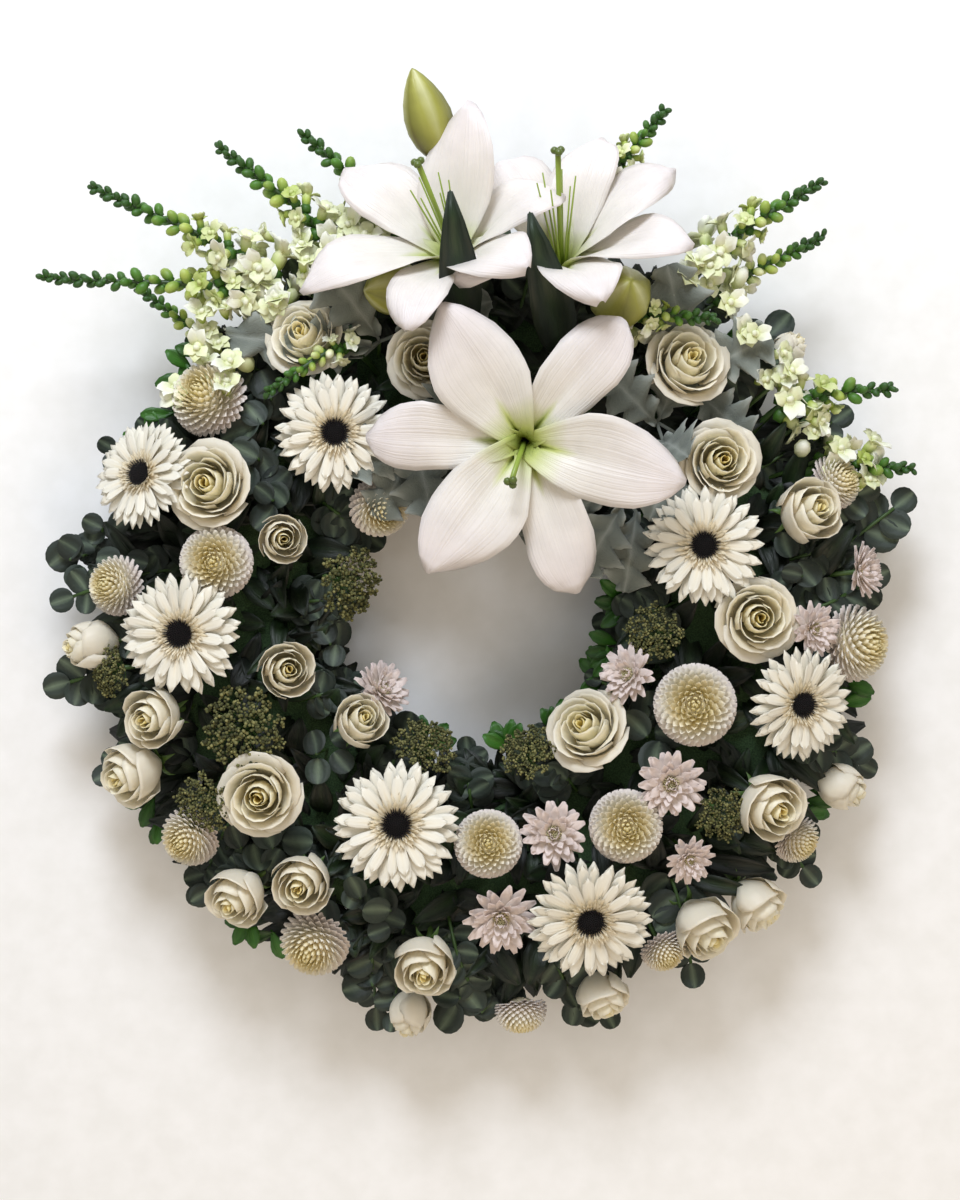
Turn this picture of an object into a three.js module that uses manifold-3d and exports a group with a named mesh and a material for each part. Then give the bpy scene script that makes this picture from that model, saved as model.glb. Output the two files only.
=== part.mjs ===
// A funeral wreath of white flowers, lying on its back. A ring of floral foam sits in a shallow
// plastic tray, leaves hide the foam along both edges, and every flower stands on its own stem,
// pushed into the foam. Millimetres; +Z is the way the wreath faces, +Y is the wreath's top.
//
// Places are given as a florist would: a bearing in degrees, clockwise from the wreath's top,
// and a reach, the distance from the centre of the ring's hole.
import * as THREE from "three";
import { mergeVertices } from "three/addons/utils/BufferGeometryUtils.js";
import Module from "manifold-3d";

const wasm = await Module();
wasm.setup();

// Driving dimensions.
const CORE = 200; // radius of the circle along the middle of the foam
const FOAM_WIDTH = 120;
const FOAM_TOP = 58; // height of the foam above the surface that the tray rests on
const FOAM_BEVEL = 16;
const TRAY_WALL = 2;
const TRAY_HEIGHT = 22;
const RING_SIDES = 32;
const DOME_HALF_WIDTH = 130; // the flower heads form a dome over the foam's core circle
const DOME_RISE = 80;
const DOME_BASE = 38;
const FOOT_DEPTH = 36; // a stem ends this high above the resting surface, inside the foam
const FOOT_MARGIN = 14; // and this far inside the foam's sides
const CLEARANCE = 0.35; // air between two pieces that touch
const STEM = { rose: 2.8, gerbera: 2.4, pompon: 2.2, spray: 1.8, lily: 4.5, snapdragon: 2.4, twig: 1.6 };

const INNER = CORE - FOAM_WIDTH / 2;
const OUTER = CORE + FOAM_WIDTH / 2;
const UP = new THREE.Vector3(0, 0, 1);
const radians = THREE.MathUtils.degToRad;

// ---- Places -------------------------------------------------------------------------------

function spot([bearing, reach, height]) {
  const angle = radians(bearing);
  return new THREE.Vector3(reach * Math.sin(angle), reach * Math.cos(angle), height);
}

// A direction that leans from straight up towards a bearing.
function leaning(bearing, tilt) {
  return spot([bearing, Math.sin(radians(tilt)), Math.cos(radians(tilt))]);
}

function domeHeight(reach) {
  const across = (reach - CORE) / DOME_HALF_WIDTH;
  return DOME_BASE + DOME_RISE * Math.sqrt(Math.max(0.05, 1 - across * across));
}

// Where a stem ends in the foam: half as far from the core circle as its flower, so that the
// flowers at the two rims look outwards and into the hole.
function footOf(bearing, reach) {
  const half = CORE + 0.5 * (reach - CORE);
  return spot([bearing, THREE.MathUtils.clamp(half, INNER + FOOT_MARGIN, OUTER - FOOT_MARGIN), FOOT_DEPTH]);
}

// Turns +Z to a direction, after a turn about it by roll, and moves to a place.
function standing(place, direction, roll = 0) {
  const turn = new THREE.Quaternion().setFromUnitVectors(UP, direction.clone().normalize());
  const spin = new THREE.Quaternion().setFromAxisAngle(UP, radians(roll));
  return new THREE.Matrix4().compose(place, turn.multiply(spin), new THREE.Vector3(1, 1, 1));
}

// Lays +Y along a line, with +Z as nearly up as the line allows, tipped by roll.
function lying(from, to, roll = 0) {
  const along = to.clone().sub(from).normalize();
  const side = new THREE.Vector3().crossVectors(along, UP).normalize();
  const over = new THREE.Vector3().crossVectors(side, along);
  const place = new THREE.Matrix4().makeBasis(side, along, over).setPosition(from);
  return place.multiply(new THREE.Matrix4().makeRotationY(radians(roll)));
}

// ---- Solids -------------------------------------------------------------------------------

function toSolid(geometry) {
  geometry.deleteAttribute("normal");
  geometry.deleteAttribute("uv");
  const merged = mergeVertices(geometry, 1e-3);
  const vertProperties = merged.attributes.position.array;
  const corners = Array.from(merged.index.array);
  const build = (order) => {
    const triVerts = [];
    for (let i = 0; i < corners.length; i += 3) {
      const triangle = order.map((k) => corners[i + k]);
      if (new Set(triangle).size === 3) triVerts.push(...triangle);
    }
    const mesh = new wasm.Mesh({ numProp: 3, vertProperties, triVerts: new Uint32Array(triVerts) });
    return new wasm.Manifold(mesh);
  };
  const made = build([0, 1, 2]);
  return made.volume() > 0 ? made : build([0, 2, 1]);
}

function toGeometry(solid) {
  const mesh = solid.getMesh();
  const geometry = new THREE.BufferGeometry();
  geometry.setAttribute("position", new THREE.BufferAttribute(mesh.vertProperties, 3));
  geometry.setIndex(new THREE.BufferAttribute(mesh.triVerts, 1));
  geometry.computeVertexNormals();
  return geometry;
}

const moved = (solid, matrix) => solid.transform(matrix.elements);
const joined = (solids) => wasm.Manifold.union(solids);

function largestBody(solid) {
  return solid.decompose().reduce((best, body) => (body.volume() > best.volume() ? body : best));
}

// A profile of [radius, height] pairs turned about Z, from axis to axis or closed. shape(side,
// ring) may shrink and twist single points, and grow moves the whole skin outwards.
function turnedGeometry(profile, sides, { shape = () => [1, 0], grow = 0 } = {}) {
  const last = profile.length - 1;
  const closed = profile[0].join() === profile[last].join();
  const points = profile.map(([r, z], i) => {
    const [r0, z0] = profile[i > 0 ? i - 1 : closed ? last - 1 : 0];
    const [r1, z1] = profile[i < last ? i + 1 : closed ? 1 : last];
    const length = Math.hypot(r1 - r0, z1 - z0);
    const out = new THREE.Vector2((z1 - z0) / length, (r0 - r1) / length).multiplyScalar(grow);
    return new THREE.Vector2(r ? r + out.x : 0, z + out.y);
  });
  const geometry = new THREE.LatheGeometry(points, sides);
  geometry.rotateX(Math.PI / 2);
  const position = geometry.attributes.position;
  for (let i = 0; i < position.count; i++) {
    const [scale, twist] = shape(Math.floor(i / profile.length) % sides, i % profile.length);
    const angle = Math.atan2(position.getY(i), position.getX(i)) + twist;
    const radius = scale * Math.hypot(position.getX(i), position.getY(i));
    position.setXYZ(i, radius * Math.cos(angle), radius * Math.sin(angle), position.getZ(i));
  }
  return geometry;
}

const turned = (profile, sides, options) => toSolid(turnedGeometry(profile, sides, options));

function rod(from, to, radius, grow = 0, sides = 5) {
  const along = to.clone().sub(from);
  const profile = [[0, 0], [radius, 0], [radius, along.length()], [0, along.length()]];
  return moved(turned(profile, sides, { grow: 1.3 * grow }), standing(from, along));
}

function bentRod(curve, radius, grow = 0, steps = 5) {
  const section = new THREE.Shape();
  section.absarc(0, 0, radius + 1.3 * grow, 0, 2 * Math.PI);
  const options = { steps, curveSegments: 3, extrudePath: curve, bevelEnabled: false };
  return toSolid(new THREE.ExtrudeGeometry(section, options));
}

// A petal that starts at the origin and runs along +Y: a thin box, each row with its own width,
// lift and hollow by its share of the length.
function petal({ length, width, thickness, rows, outline, lift, hollow }, grow) {
  const geometry = new THREE.BoxGeometry(1, 1, 1, 2, rows, 1);
  const position = geometry.attributes.position;
  for (let i = 0; i < position.count; i++) {
    const share = position.getY(i) + 0.5;
    const across = position.getX(i) * 2;
    const half = (outline(share) * width) / 2 + grow;
    const skin = position.getZ(i) * (thickness + 2 * grow);
    const drop = hollow(share) * (1 - across * across);
    position.setXYZ(i, across * half, share * length + (share > 0.5 ? grow : 0), lift(share) - drop + skin);
  }
  return toSolid(geometry);
}

// A small flat leaf from the origin along +Y: six points round its rim, thickest at the middle.
function leaf(length, width, thickness, grow = 0) {
  const geometry = new THREE.SphereGeometry(0.5, 6, 2);
  geometry.rotateX(Math.PI / 2);
  geometry.rotateZ(Math.PI / 2);
  geometry.scale(width + 3 * grow, length + 4 * grow, thickness + 3 * grow);
  geometry.translate(0, length / 2, 0);
  return toSolid(geometry);
}

// ---- Flower heads: each stands on the origin and faces +Z; grow adds air round it ----------

// Rims one within the other, each twisted a little more towards the heart.
function roseHead(radius, height, openness) {
  const rim = 0.72 + 0.28 * openness;
  const profile = [
    [0, 0], [0.62 * radius, 0.12 * height], [0.96 * radius, 0.46 * height],
    [rim * radius, 0.9 * height], [rim * 0.74 * radius, 0.86 * height],
    [rim * 0.6 * radius, height], [rim * 0.34 * radius, 0.88 * height], [0, 0.97 * height],
  ];
  const shape = (side, ring) => [side % 2 && ring > 2 ? 0.92 : 1, 0.2 * Math.max(0, ring - 3)];
  return (grow) => turned(profile, 8, { shape, grow: 1.6 * grow });
}

// A star of petals round a raised eye.
function daisyHead(radius, petals, dish, eye) {
  const profile = [
    [0, 0], [0.3 * radius, 1.5], [radius, dish], [radius, dish + 2.4],
    [eye * 1.25, 6.5], [eye, 9.5], [0, 9.5],
  ];
  const shape = (side, ring) => [side % 2 && (ring === 2 || ring === 3) ? 0.82 : 1, 0];
  const coverSides = 10;
  const cover = profile.map(([r, z]) => [r / Math.cos(Math.PI / coverSides), z]);
  const room = (grow) => turned(cover, coverSides, { grow: 1.3 * grow });
  return (grow) => (grow ? room(grow) : turned(profile, 2 * petals, { shape }));
}

// A flattened ball of short florets.
function pomponHead(radius) {
  const profile = [
    [0, 0], [0.62 * radius, 0.1 * radius], [radius, 0.56 * radius],
    [0.86 * radius, 1.02 * radius], [0.45 * radius, 1.3 * radius], [0, 1.34 * radius],
  ];
  const shape = (side, ring) => [(side + ring) % 2 ? 0.94 : 1, 0];
  return (grow) => turned(profile, 10, { shape, grow: 1.6 * grow });
}

// Three broad petals over three narrow ones, curling back from a throat, and a pistil. open is
// how far the petals spread from the axis.
function lilyHead({ reach, throat, open, curl }) {
  return (grow) => {
    const parts = [turned([[0, 0], [6, 0], [11, throat * 0.5], [0, throat * 0.5]], 6, { grow })];
    for (let i = 0; i < 6; i++) {
      const broad = i % 2 === 0;
      const shape = {
        length: reach, width: reach * (broad ? 0.58 : 0.42), thickness: 2.2, rows: 4,
        outline: (s) => 0.22 + 0.78 * Math.sin(Math.PI * Math.min(0.97, 0.1 + 0.85 * s)),
        lift: (s) => -curl * reach * s ** 3,
        hollow: (s) => 5 * Math.sin(Math.PI * s),
      };
      const place = new THREE.Matrix4().makeRotationZ(radians(-60 * i));
      place.multiply(new THREE.Matrix4().makeTranslation(0, 2, throat * (broad ? 0.4 : 0.24)));
      place.multiply(new THREE.Matrix4().makeRotationX(radians(90 - open)));
      parts.push(moved(petal(shape, grow), place));
    }
    const tip = new THREE.Vector3(0, 0, throat + reach * 0.26);
    parts.push(rod(new THREE.Vector3(0, 0, 2), tip, 1.8, grow));
    parts.push(moved(turned([[0, -3], [4.5, 0], [0, 3]], 3, { grow: 2 * grow }), standing(tip, UP)));
    return joined(parts);
  };
}

// Six flat sides that meet in a point.
function lilyBud(radius, length) {
  const profile = [
    [0, 0], [0.7 * radius, 0.18 * length], [radius, 0.45 * length],
    [0.78 * radius, 0.75 * length], [0, length],
  ];
  return (grow) => turned(profile, 6, { grow: 1.5 * grow });
}

// A shallow dome of tiny florets.
function umbelHead(radius) {
  const profile = [[0, 0], [radius, 0.55 * radius], [0.65 * radius, 0.9 * radius], [0, radius]];
  const shape = (side) => [side % 2 ? 0.88 : 1, 0];
  return (grow) => turned(profile, 10, { shape, grow: 1.6 * grow });
}

// A snapdragon's spike, bent along its stem's curve from a share of its length to the tip: open
// florets below, then buds that get smaller.
function spikeHead(curve, start, thick, thin) {
  const whorls = 5;
  const profile = [[0, 0]];
  for (let i = 0; i < whorls; i++) {
    const size = THREE.MathUtils.lerp(thick, thin, i / (whorls - 1));
    profile.push([size, (i + 0.45) / whorls], [0.55 * size, (i + 0.85) / whorls]);
  }
  profile.push([0, 1]);
  const shape = (side, ring) => [side % 2 ? 0.74 : 1, 0.5 * Math.floor((ring - 1) / 2)];
  return (grow) => {
    const geometry = turnedGeometry(profile, 6, { shape });
    const position = geometry.attributes.position;
    for (let i = 0; i < position.count; i++) {
      const share = start + (1 - start) * position.getZ(i);
      const tangent = curve.getTangent(share);
      const side = new THREE.Vector3().crossVectors(tangent, UP).normalize();
      const over = new THREE.Vector3().crossVectors(side, tangent);
      const wider = 1 + (1.8 * grow) / (Math.hypot(position.getX(i), position.getY(i)) + 0.1);
      const point = curve.getPoint(share);
      point.addScaledVector(side, wider * position.getX(i));
      point.addScaledVector(over, wider * position.getY(i));
      position.setXYZ(i, point.x, point.y, point.z);
    }
    return toSolid(geometry);
  };
}

// ---- The florist's plan ---------------------------------------------------------------------

// Each entry becomes one node, of stems and heads. An entry keeps its shape where it presses
// against a later one, and a stem keeps its shape against every head.
const plan = [];

function add(name, finish, members) {
  plan.push({ name, finish, members });
}

// A head on a straight stem; lift raises it above the dome.
function onStem(head, depth, stemRadius, { at: [bearing, reach], lift = 0, foot, roll = 0 }) {
  const centre = spot([bearing, reach, domeHeight(reach) + lift]);
  const base = foot ? spot(foot) : footOf(bearing, reach);
  const facing = centre.clone().sub(base).normalize();
  const junction = centre.clone().addScaledVector(facing, -depth);
  const place = standing(junction, facing, roll);
  const inside = junction.clone().addScaledVector(facing, 2.5);
  return {
    head: (grow) => moved(head(grow), place),
    stem: (grow) => rod(base, inside, stemRadius, grow),
  };
}

// A head on a stem that bends to the way the head faces.
function onBentStem(head, stemRadius, { at, facing: [bearing, tilt], foot, roll = 0 }) {
  const junction = spot(at);
  const facing = leaning(bearing, tilt);
  const inside = junction.clone().addScaledVector(facing, 2.5);
  const bend = junction.clone().addScaledVector(facing, -46);
  const curve = new THREE.QuadraticBezierCurve3(spot(foot), bend, inside);
  return {
    head: (grow) => moved(head(grow), standing(junction, facing, roll)),
    stem: (grow) => bentRod(curve, stemRadius, grow),
  };
}

// A leaf on a stem, from base to tip.
function leafAt(base, tip, width, roll = 0) {
  const [from, to] = [spot(base), spot(tip)];
  const blade = (grow) => leaf(from.distanceTo(to), width, 3, grow);
  return { head: (grow) => moved(blade(grow), lying(from, to, roll)), stem: null };
}

add("lily_front", "petal", [
  onStem(lilyHead({ reach: 112, throat: 44, open: 76, curl: 0.16 }), 30, STEM.lily,
    { at: [14, 137], lift: 44, foot: [15, 156, FOOT_DEPTH], roll: 24 }),
]);
add("lily_left", "petal", [
  onBentStem(lilyHead({ reach: 88, throat: 44, open: 56, curl: 0.3 }), STEM.lily,
    { at: [357, 266, 108], facing: [338, 48], foot: [357, 212, FOOT_DEPTH], roll: 10 }),
  onBentStem(lilyBud(18, 72), STEM.twig * 1.6, { at: [355, 358, 112], facing: [342, 66], foot: [357, 258, 92] }),
  onBentStem(lilyBud(22, 56), STEM.twig * 1.6, { at: [350, 262, 100], facing: [262, 52], foot: [357, 214, 62] }),
  leafAt([357, 222, 66], [355, 312, 134], 26),
]);
add("lily_right", "petal", [
  onBentStem(lilyHead({ reach: 92, throat: 44, open: 56, curl: 0.3 }), STEM.lily,
    { at: [16, 270, 104], facing: [356, 54], foot: [14, 214, FOOT_DEPTH], roll: 0 }),
  onBentStem(lilyBud(24, 58), STEM.twig * 1.6, { at: [25, 268, 104], facing: [40, 22], foot: [15, 218, 64] }),
  leafAt([14, 220, 60], [6, 304, 116], 26),
]);

// Gerberas: bearing, reach and radius.
const gerberas = [
  [293, 290, 46], [322, 182, 48], [72, 182, 49], [267, 233, 50],
  [202, 172, 52], [105, 260, 46], [160, 251, 51],
];
gerberas.forEach(([bearing, reach, radius], i) => {
  const head = daisyHead(radius, 10, 6, 0.24 * radius);
  add(`gerbera_${i + 1}`, "petal", [onStem(head, 8, STEM.gerbera, { at: [bearing, reach], lift: 12 })]);
});

// Snapdragons: how high, and where, the stem enters the foam, the florets begin and the tip ends.
const snapdragons = [
  [{ foot: [322, 236, 40], base: [326, 300, 84], tip: [308, 434, 104] },
    { foot: [322, 236, 40], base: [316, 306, 62], tip: [314, 378, 66], thick: 11 }],
  [{ foot: [328, 238, 40], base: [327, 330, 92], tip: [318, 452, 112] }],
  [{ foot: [338, 240, 40], base: [338, 322, 92], tip: [331, 420, 112] },
    { foot: [338, 240, 40], base: [347, 322, 80], tip: [340, 405, 94] }],
  [{ foot: [22, 240, 40], base: [17, 360, 96], tip: [20, 421, 112], thick: 14 }],
  [{ foot: [32, 240, 40], base: [33, 345, 90], tip: [38, 431, 112] },
    { foot: [32, 240, 40], base: [37, 330, 74], tip: [42, 408, 82], thick: 12 }],
  [{ foot: [26, 214, 40], base: [27, 262, 116], tip: [38, 292, 134], thick: 13 }],
  [{ foot: [58, 238, 40], base: [55, 296, 84], tip: [61, 372, 98] },
    { foot: [58, 238, 40], base: [66, 300, 66], tip: [71, 364, 78] }],
  [{ foot: [338, 206, 40], base: [333, 236, 118], tip: [317, 238, 136], thick: 11 }],
];

function snapdragon({ foot, base, tip, thick = 20, thin = 5 }) {
  const curve = new THREE.CatmullRomCurve3([spot(foot), spot(base), spot(tip)]);
  const start = 0.42;
  const lower = new THREE.CatmullRomCurve3([0, 0.2, 0.4, start + 0.12].map((s) => curve.getPoint(s)));
  return {
    head: spikeHead(curve, start, thick, thin),
    stem: (grow) => bentRod(lower, STEM.snapdragon, grow),
  };
}
snapdragons.forEach((spikes, i) => add(`snapdragon_${i + 1}`, "snapdragon", spikes.map(snapdragon)));

// Joins each later stem to the first one, a little above the foam.
function forked(members, feet, radius) {
  const knees = feet.map(([bearing, reach]) => {
    const foot = footOf(bearing, reach);
    const rise = spot([bearing, reach, domeHeight(reach)]).sub(foot).normalize();
    return foot.addScaledVector(rise, FOAM_TOP - FOOT_DEPTH + 10);
  });
  return members.map((member, i) => (i === 0 ? member : {
    head: member.head,
    stem: (grow) => joined([member.stem(grow), rod(knees[0], knees[i], radius, grow)]),
  }));
}

// Roses: bearing, reach, radius, height of the bloom, and how open it is. Two on one line share
// a stem that forks, and so do the other flowers below.
const roses = [
  [[296, 234, 32, 50, 1], [292, 166, 21, 42, 0.9]],
  [[328, 258, 28, 46, 0.8]],
  [[348, 206, 25, 44, 0.9]],
  [[39, 256, 32, 50, 1]],
  [[57, 223, 27, 46, 0.9], [49, 322, 15, 50, 0]],
  [[72, 270, 27, 56, 0.4]],
  [[266, 310, 24, 54, 0]],
  [[253, 266, 27, 52, 0.5], [246, 300, 26, 56, 0]],
  [[255, 157, 23, 48, 0.3], [229, 124, 24, 46, 0.6]],
  [[231, 219, 31, 48, 1]],
  [[214, 247, 25, 52, 0.5], [221, 290, 26, 52, 0.4]],
  [[90, 215, 30, 48, 1]],
  [[136, 121, 32, 48, 1]],
  [[123, 270, 30, 58, 0.5], [115, 318, 22, 50, 0]],
  [[144, 302, 25, 56, 0.4], [136, 318, 21, 50, 0]],
  [[162, 316, 21, 46, 0.3]],
  [[189, 274, 29, 54, 0.5], [190, 322, 20, 46, 0.3]],
];
roses.forEach((blooms, i) => {
  const members = blooms.map(([bearing, reach, radius, height, openness], k) => {
    const where = { at: [bearing, reach], roll: 40 * i + 90 * k };
    return onStem(roseHead(radius, height, openness), 0.6 * height, STEM.rose, where);
  });
  add(`rose_${String(i + 1).padStart(2, "0")}`, "cream", forked(members, blooms, STEM.rose));
});

// Chrysanthemums and umbels: bearing, reach and radius.
const pompons = [
  [[309, 279, 31]],
  [[282, 211, 29], [275, 292, 24]],
  [[318, 114, 25]],
  [[233, 291, 24], [207, 293, 28]],
  [[94, 304, 31], [69, 306, 22]],
  [[112, 180, 33]],
  [[145, 198, 29], [151, 306, 18]],
  [[178, 175, 27], [174, 324, 21]],
  [[125, 312, 20]],
];
const sprayBlooms = [
  [[83, 306, 24], [92, 261, 22]],
  [[234, 94, 27]],
  [[111, 123, 24], [131, 197, 30], [139, 249, 20]],
  [[161, 177, 29], [176, 236, 30]],
];
const umbels = [
  [[245, 203, 36], [236, 262, 27], [262, 298, 24]],
  [[203, 108, 28], [160, 110, 26]],
  [[129, 245, 24], [95, 134, 26]],
  [[285, 104, 32]],
];

function addSpray(name, finish, blooms, makeHead, depth, radius) {
  const members = blooms.map(([bearing, reach, size], i) =>
    onStem(makeHead(size), depth * size, radius, { at: [bearing, reach], roll: 50 * i }));
  add(name, finish, forked(members, blooms, radius));
}
pompons.forEach((blooms, i) => addSpray(`pompon_${i + 1}`, "petal", blooms, pomponHead, 0.7, STEM.pompon));
sprayBlooms.forEach((blooms, i) =>
  addSpray(`spray_chrysanthemum_${i + 1}`, "blush", blooms, (size) => daisyHead(size, 7, 12, 7), 0.4, STEM.spray));
umbels.forEach((heads, i) => addSpray(`umbel_${i + 1}`, "umbel", heads, umbelHead, 0.8, STEM.twig));

// ---- Foliage --------------------------------------------------------------------------------

// A grey, lobed leaf: wide and narrow rows by turns.
function lobedLeaf(length, width) {
  const shape = {
    length, width, thickness: 2, rows: 6,
    outline: (s) => (0.28 + 0.62 * Math.sin(Math.PI * (0.12 + 0.8 * s))) * (Math.round(6 * s) % 2 ? 1 : 0.55),
    lift: (s) => 0.1 * length * s * (1 - s),
    hollow: () => 0,
  };
  return (grow) => petal(shape, grow);
}

// Leaves that fan out from one stem: each has the place where it starts, its tip and its width.
function addFan(name, finish, foot, knee, leaves, makeLeaf) {
  const [from, fork] = [spot(foot), spot(knee)];
  const members = leaves.map(([base, tip, width]) => {
    const [start, end] = [spot(base), spot(tip)];
    const blade = makeLeaf(start.distanceTo(end), width);
    const inside = start.clone().lerp(end, 0.12);
    return {
      head: (grow) => moved(blade(grow), lying(start, end)),
      stem: (grow) => joined([rod(from, fork, STEM.twig, grow), rod(fork, inside, STEM.twig, grow)]),
    };
  });
  add(name, finish, members);
}
addFan("dusty_miller_left", "felt", [343, 166, FOOT_DEPTH], [342, 152, 98], [
  [[340, 150, 108], [336, 94, 118], 38], [[345, 150, 106], [354, 172, 134], 34],
], lobedLeaf);
addFan("dusty_miller_right", "felt", [44, 206, FOOT_DEPTH], [42, 208, 92], [
  [[42, 212, 98], [33, 262, 132], 34], [[46, 200, 98], [49, 196, 132], 36], [[48, 214, 90], [60, 158, 118], 30],
], lobedLeaf);

// Sprigs of silver-dollar eucalyptus: round leaves in pairs along a stem.
const eucalyptusSprigs = [
  { foot: [262, 238, 42], middle: [262, 290, 56], tip: [261, 336, 62], pairs: 2 },
  { foot: [84, 240, 42], middle: [79, 296, 58], tip: [75, 346, 66], pairs: 2 },
];
function eucalyptus({ foot, middle, tip, pairs }) {
  const curve = new THREE.CatmullRomCurve3([spot(foot), spot(middle), spot(tip)]);
  const members = [{ head: null, stem: (grow) => bentRod(curve, STEM.twig, grow, 4) }];
  for (let i = 0; i < 2 * pairs + 1; i++) {
    const share = i === 2 * pairs ? 0.96 : 0.45 + (0.5 * Math.floor(i / 2)) / pairs;
    const from = curve.getPoint(share);
    const along = curve.getTangent(share);
    const aside = new THREE.Vector3().crossVectors(along, UP).multiplyScalar(i % 2 ? -1 : 1);
    const way = i === 2 * pairs ? along : along.add(aside).setZ(0.2 * ((i % 3) - 1));
    const to = from.clone().add(way);
    members.push({ head: (grow) => moved(leaf(28, 30, 2.6, grow), lying(from, to)), stem: null });
  }
  return members;
}
eucalyptusSprigs.forEach((sprig, i) => add(`eucalyptus_${i + 1}`, "eucalyptus", eucalyptus(sprig)));

// A collar of overlapping leaves along one side of the foam, grown into one another where they
// are pinned to it, above the tray's wall.
function leafCollar({ bandInner, bandOuter, count, from, to, width }) {
  const band = [
    [bandInner, TRAY_HEIGHT + 4], [bandOuter, TRAY_HEIGHT + 4],
    [bandOuter, FOAM_TOP - FOAM_BEVEL - 1], [bandInner, FOAM_TOP - FOAM_BEVEL - 1], [bandInner, TRAY_HEIGHT + 4],
  ];
  const ring = (grow) => turned(band, RING_SIDES, { grow });
  const leaves = [];
  for (let i = 0; i < count; i++) {
    const bearing = (360 * i) / count;
    const length = 1 + 0.1 * Math.sin(2.4 * i) + 0.06 * Math.cos(5.1 * i);
    const height = FOAM_TOP - FOAM_BEVEL - 8;
    const start = [bearing, from, height];
    const rise = 6 + 12 * Math.sin(3.3 * i) ** 2;
    const end = [bearing + 5 * Math.sin(1.7 * i), from + (to - from) * length, height + rise];
    leaves.push(leafAt(start, end, width, 14 * Math.sin(2.1 * i)));
  }
  return [{ head: ring, stem: null }, ...leaves];
}
add("leaf_collar_outer", "leaf", leafCollar({
  bandInner: OUTER + 0.5, bandOuter: OUTER + 4, count: 24, from: OUTER + 1, to: 324, width: 54,
}));
add("leaf_collar_inner", "leaf", leafCollar({
  bandInner: INNER - 4, bandOuter: INNER - 0.5, count: 15, from: INNER - 1, to: 98, width: 42,
}));

// ---- The holder -----------------------------------------------------------------------------

// The tray is a channel, open upwards, and the foam fills it and stands proud.
function trayShape() {
  const [inner, outer] = [INNER - CLEARANCE, OUTER + CLEARANCE];
  return turned([
    [inner - TRAY_WALL, 0], [outer + TRAY_WALL, 0], [outer + TRAY_WALL, TRAY_HEIGHT], [outer, TRAY_HEIGHT],
    [outer, TRAY_WALL], [inner, TRAY_WALL], [inner, TRAY_HEIGHT], [inner - TRAY_WALL, TRAY_HEIGHT],
    [inner - TRAY_WALL, 0],
  ], RING_SIDES);
}

function foamShape(grow) {
  const floor = TRAY_WALL + CLEARANCE;
  return turned([
    [INNER, floor], [OUTER, floor], [OUTER, FOAM_TOP - FOAM_BEVEL], [OUTER - FOAM_BEVEL, FOAM_TOP],
    [INNER + FOAM_BEVEL, FOAM_TOP], [INNER, FOAM_TOP - FOAM_BEVEL], [INNER, floor],
  ], RING_SIDES, { grow });
}

// ---- Fitting together -----------------------------------------------------------------------

const finishes = {
  petal: { color: 0xf1eee2, roughness: 0.6 },
  blush: { color: 0xeee3dc, roughness: 0.6 },
  cream: { color: 0xece4c4, roughness: 0.6 },
  snapdragon: { color: 0xdfe0b4, roughness: 0.6 },
  umbel: { color: 0x77733f, roughness: 0.9 },
  felt: { color: 0xb9c0b6, roughness: 0.95 },
  eucalyptus: { color: 0x5d7a6c, roughness: 0.7 },
  leaf: { color: 0x2f4a2b, roughness: 0.5 },
  foam: { color: 0x3f5a36, roughness: 1 },
  plastic: { color: 0x2b3a2a, roughness: 0.5 },
};

const wreath = new THREE.Group();

function place(name, finish, solid) {
  const material = new THREE.MeshStandardMaterial({ metalness: 0, ...finishes[finish] });
  const mesh = new THREE.Mesh(toGeometry(solid), material);
  mesh.name = name;
  wreath.add(mesh);
}

function gather(entry, kind, grow) {
  return joined(entry.members.filter((member) => member[kind]).map((member) => member[kind](grow)));
}

const pieces = plan.map((entry) => ({
  ...entry,
  heads: gather(entry, "head", 0),
  stems: gather(entry, "stem", 0),
  headRoom: gather(entry, "head", CLEARANCE),
  stemRoom: gather(entry, "stem", CLEARANCE),
}));
const foam = foamShape(0);
const foamRoom = foamShape(CLEARANCE);

pieces.forEach((piece, i) => {
  const others = pieces.filter((other) => other !== piece).map((other) => other.stemRoom);
  const earlier = pieces.slice(0, i);
  const stems = piece.stems.subtract(joined(earlier.map((other) => other.stemRoom)));
  const heads = piece.heads.subtract(joined([...others, ...earlier.map((other) => other.headRoom)]));
  place(piece.name, piece.finish, largestBody(heads.subtract(foamRoom).add(stems)));
});
place("foam_ring", "foam", foam.subtract(joined(pieces.map((piece) => piece.stemRoom))));
place("ring_tray", "plastic", trayShape());

// The origin is below the middle of the whole, on the surface that the tray rests on.
const box = new THREE.Box3().setFromObject(wreath);
const middle = box.getCenter(new THREE.Vector3());
wreath.position.set(-middle.x, -middle.y, -box.min.z);

export default wreath;
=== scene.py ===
# %% [markdown]
# # A funeral wreath of white flowers
# A wreath is a ring of wet foam in a plastic tray, and every flower stands in the foam on its own
# stem. This lesson dresses such a wreath: roses, gerberas, chrysanthemums, lilies and snapdragons
# are each modelled once, petal by petal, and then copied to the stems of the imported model.

# %% The frame
import math

import bpy
import numpy as np
from mathutils import Matrix, Vector


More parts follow.
